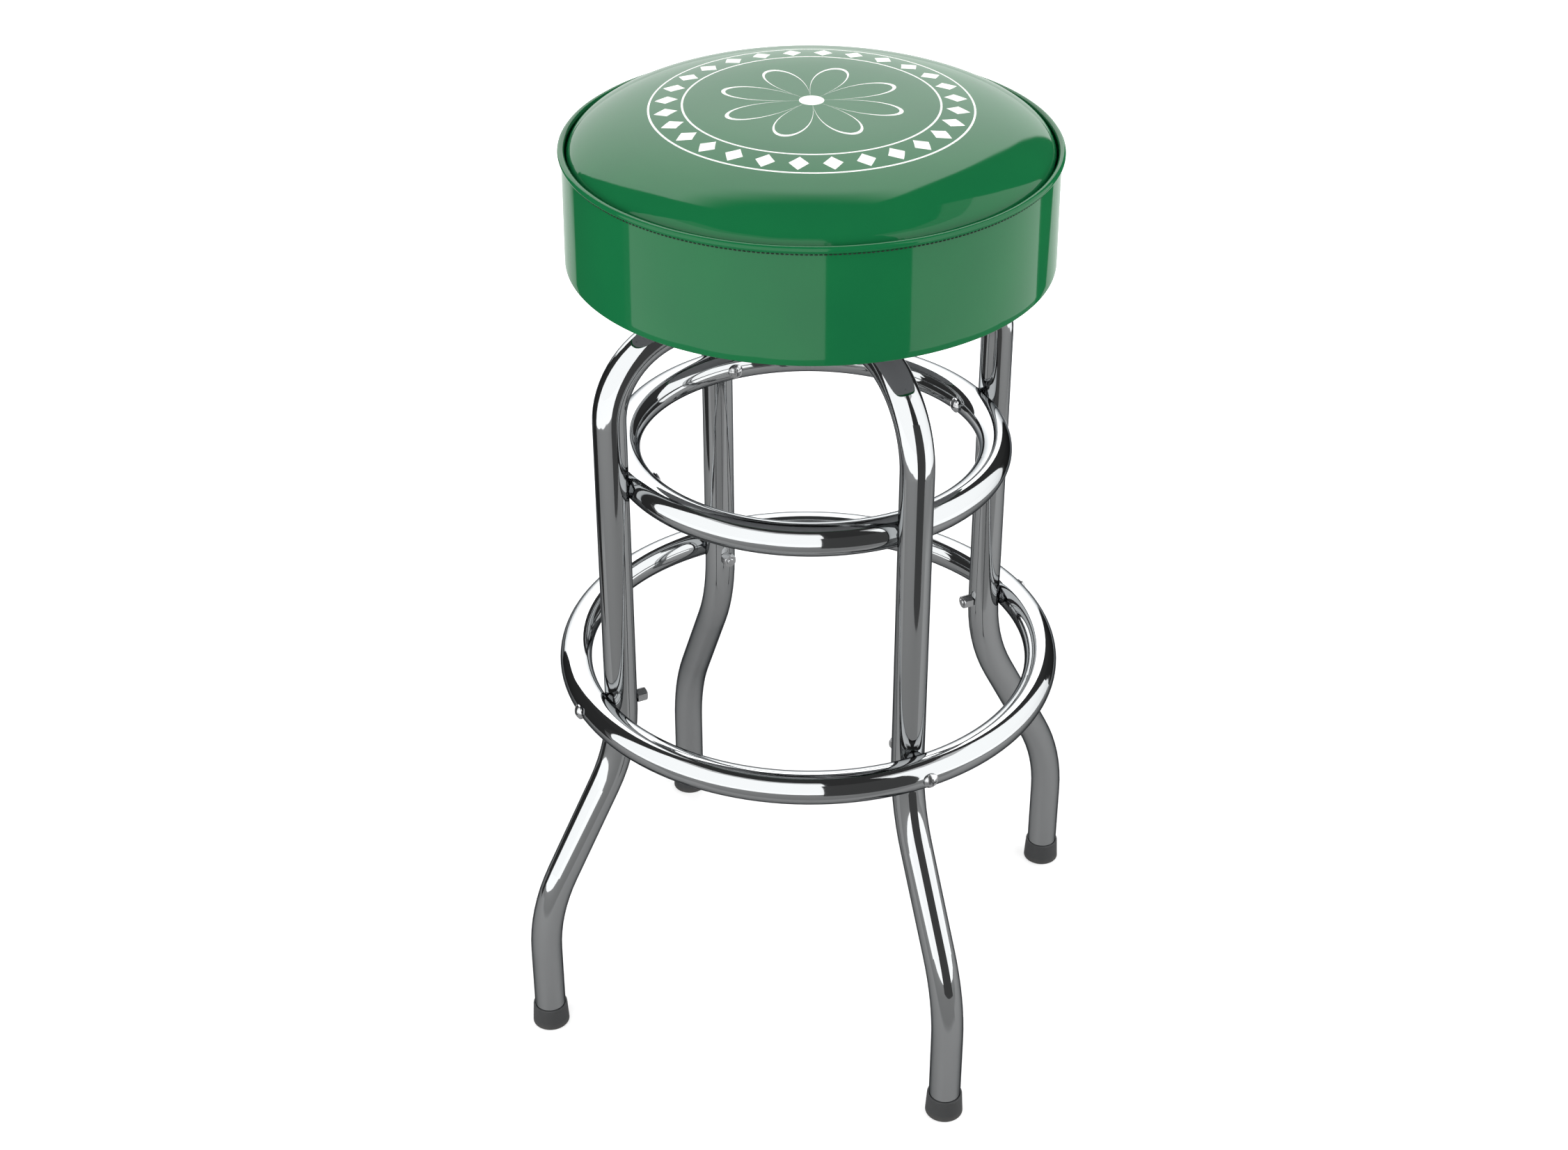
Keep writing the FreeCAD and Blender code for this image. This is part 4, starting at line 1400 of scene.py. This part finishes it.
@dataclass(frozen=True)
class Floor:
    """A matt floor, white to every camera, and grey to the stool outside the photograph's view.

    The view ends over the front range towards the camera. Its sides lie side_at_axis from
    the stool's middle, and farther out by side_slope for each metre behind it. The glow is
    only what the camera and shiny things see. It rises over glow_rise behind the stool, so
    the stool's shadow stays. Shiny things see the floor near the stool darker.
    """

    reach: float = 14.0
    segments: int = 96
    roughness: float = 0.9
    white: str = "#D2D2D2"
    grey: str = "#8C8C8C"
    front: tuple[float, float] = (0.262, 0.42)
    side_at_axis: float = 0.70
    side_slope: float = 0.268
    side_fade: float = 0.35
    dulling: float = 0.7
    glow_near: float = 0.42
    glow_far: float = 1.6
    glow_rise: tuple[float, float] = (0.2, 1.8)

    def build(self, camera_bearing: float) -> None:
        """Lay the floor.

        Args:
            camera_bearing: Direction of the camera about the swivel's axis, in radians.
        """
        bpy.ops.object.select_all(action="DESELECT")
        bpy.ops.mesh.primitive_circle_add(vertices=self.segments, radius=self.reach, fill_type="NGON")
        floor = bpy.context.object
        floor.name = "studio_floor"
        material = bpy.data.materials.new("matt_studio_floor")
        material.use_nodes = True
        tree = material.node_tree
        shader = tree.nodes["Principled BSDF"]
        shader.inputs["Roughness"].default_value = self.roughness
        shader.inputs["Specular IOR Level"].default_value = 0.0
        shader.inputs["Emission Color"].default_value = WHITE
        coords = add_node(tree, "ShaderNodeTexCoord")
        turned = add_node(tree, "ShaderNodeMapping", {
            "vector_type": "TEXTURE",
            "Rotation": (0.0, 0.0, camera_bearing),
        }, {"Vector": coords.outputs["Object"]})
        axes = add_node(tree, "ShaderNodeSeparateXYZ", links={"Vector": turned.outputs["Vector"]})
        ahead = axes.outputs["X"]
        ray = add_node(tree, "ShaderNodeLightPath")
        mirrored = add_node(tree, "ShaderNodeMath", {"operation": "MAXIMUM"}, {
            0: ray.outputs["Is Glossy Ray"],
            1: ray.outputs["Is Transmission Ray"],
        })
        unseen = add_node(tree, "ShaderNodeMath", {"operation": "SUBTRACT", 0: 1.0}, {
            1: ray.outputs["Is Camera Ray"],
        })
        outside = add_node(tree, "ShaderNodeMath", {"operation": "MULTIPLY"}, {
            0: self.outside_view(tree, ahead, axes.outputs["Y"]),
            1: unseen.outputs["Value"],
        })
        near = add_node(tree, "ShaderNodeMapRange", {
            "interpolation_type": "SMOOTHSTEP",
            "From Min": -self.glow_rise[1],
            "From Max": -self.glow_rise[0],
        }, {"Value": ahead})
        parts = (outside.outputs["Value"], mirrored.outputs["Value"], near.outputs["Result"])
        tree.links.new(self.tone(tree, *parts), shader.inputs["Base Color"])
        glow = self.glow(tree, ray.outputs["Is Camera Ray"], *parts)
        tree.links.new(glow, shader.inputs["Emission Strength"])
        floor.data.materials.append(material)

    def outside_view(self, tree: Tree, ahead: Socket, across: Socket) -> Socket:
        """Work out which part of the floor lies outside the photograph.

        Args:
            tree: The floor's node tree.
            ahead: Distance towards the camera from the stool's middle.
            across: Distance to the image's right.

        Returns:
            Zero in view, one outside it, with a soft edge.
        """
        aside = add_node(tree, "ShaderNodeMath", {"operation": "ABSOLUTE"}, {0: across})
        beyond = add_node(tree, "ShaderNodeMath", {"operation": "MULTIPLY_ADD", 1: self.side_slope}, {
            0: ahead,
            2: aside.outputs["Value"],
        })
        limits = (
            (ahead, self.front),
            (beyond.outputs["Value"], (self.side_at_axis, self.side_at_axis + self.side_fade)),
        )
        shares = []
        for distance, (first, last) in limits:
            edge = add_node(tree, "ShaderNodeMapRange", {
                "interpolation_type": "SMOOTHSTEP",
                "From Min": first,
                "From Max": last,
            }, {"Value": distance})
            shares.append(edge.outputs["Result"])
        most = add_node(tree, "ShaderNodeMath", {"operation": "MAXIMUM"}, {0: shares[0], 1: shares[1]})
        return most.outputs["Value"]

    def tone(self, tree: Tree, outside: Socket, mirrored: Socket, near: Socket) -> Socket:
        """Mix the floor's own colour.

        Args:
            tree: The floor's node tree.
            outside: One outside the photograph, for all but the camera.
            mirrored: One for shiny surfaces.
            near: One near the stool.

        Returns:
            The base colour.
        """
        duller = add_node(tree, "ShaderNodeMath", {"operation": "MULTIPLY", 1: self.dulling}, {0: mirrored})
        darker = add_node(tree, "ShaderNodeMath", {"operation": "MULTIPLY"}, {
            0: duller.outputs["Value"],
            1: near,
        })
        shade = add_node(tree, "ShaderNodeMath", {"operation": "MAXIMUM"}, {
            0: outside,
            1: darker.outputs["Value"],
        })
        colours = {"data_type": "RGBA", 6: linear(self.white), 7: linear(self.grey)}
        return add_node(tree, "ShaderNodeMix", colours, {0: shade.outputs["Value"]}).outputs[2]

    def glow(self, tree: Tree, camera: Socket, outside: Socket, mirrored: Socket, near: Socket) -> Socket:
        """Work out the floor's glow for the camera and for shiny surfaces.

        Args:
            tree: The floor's node tree.
            camera: One for the camera.
            outside: One outside the photograph, for all but the camera.
            mirrored: One for shiny surfaces.
            near: One near the stool.

        Returns:
            The emission strength.
        """
        seen = add_node(tree, "ShaderNodeMath", {"operation": "MAXIMUM"}, {0: camera, 1: mirrored})
        inside = add_node(tree, "ShaderNodeMath", {"operation": "SUBTRACT", 0: 1.0}, {1: outside})
        shown = add_node(tree, "ShaderNodeMath", {"operation": "MULTIPLY"}, {
            0: seen.outputs["Value"],
            1: inside.outputs["Value"],
        })
        lowest = add_node(tree, "ShaderNodeMath", {"operation": "MULTIPLY", 1: self.glow_near}, {0: camera})
        strength = add_node(tree, "ShaderNodeMapRange", {"To Min": self.glow_far}, {
            "Value": near,
            "To Max": lowest.outputs["Value"],
        })
        level = add_node(tree, "ShaderNodeMath", {"operation": "MULTIPLY"}, {
            0: shown.outputs["Value"],
            1: strength.outputs["Result"],
        })
        return level.outputs["Value"]


@dataclass(frozen=True)
class Studio:
    """White floor, two tall soft boxes in front, a pale screen behind and dark flags between."""

    view: Viewpoint = Viewpoint()
    floor: Floor = Floor()
    sky: Sky = Sky()
    boxes: tuple[SoftBox, ...] = (
        SoftBox("left_box", -85.0, 8.0),
        SoftBox("right_box", 40.0, 122.0),
    )
    flags: tuple[Flag, ...] = (
        Flag("front_flag", (0.85, 0.09), (0.64, 0.566), 0.95, 0.1),
        Flag("left_flag", (0.08, -0.72), (-0.86, -0.95), 0.75, 0.05),
        Flag("right_flag", (-0.55, 0.90), (-2.4, 1.42), 0.75, 0.05),
    )

    def build(self) -> None:
        """Add the floor, the lamps, the flags and the world."""
        bearing = self.view.bearing()
        self.floor.build(bearing)
        for piece in self.boxes + self.flags:
            piece.build(bearing)
        self.sky.build(bearing)


def main() -> None:
    """Build the scene: camera and studio, then the metalwork and the seat."""
    logging.basicConfig(level=logging.INFO, format="%(name)s: %(message)s")
    bpy.context.scene.view_settings.view_transform = "Standard"
    studio = Studio()
    studio.view.build()
    studio.build()
    Metalwork().build()
    Seat().build()


if __name__ == "__main__":
    main()
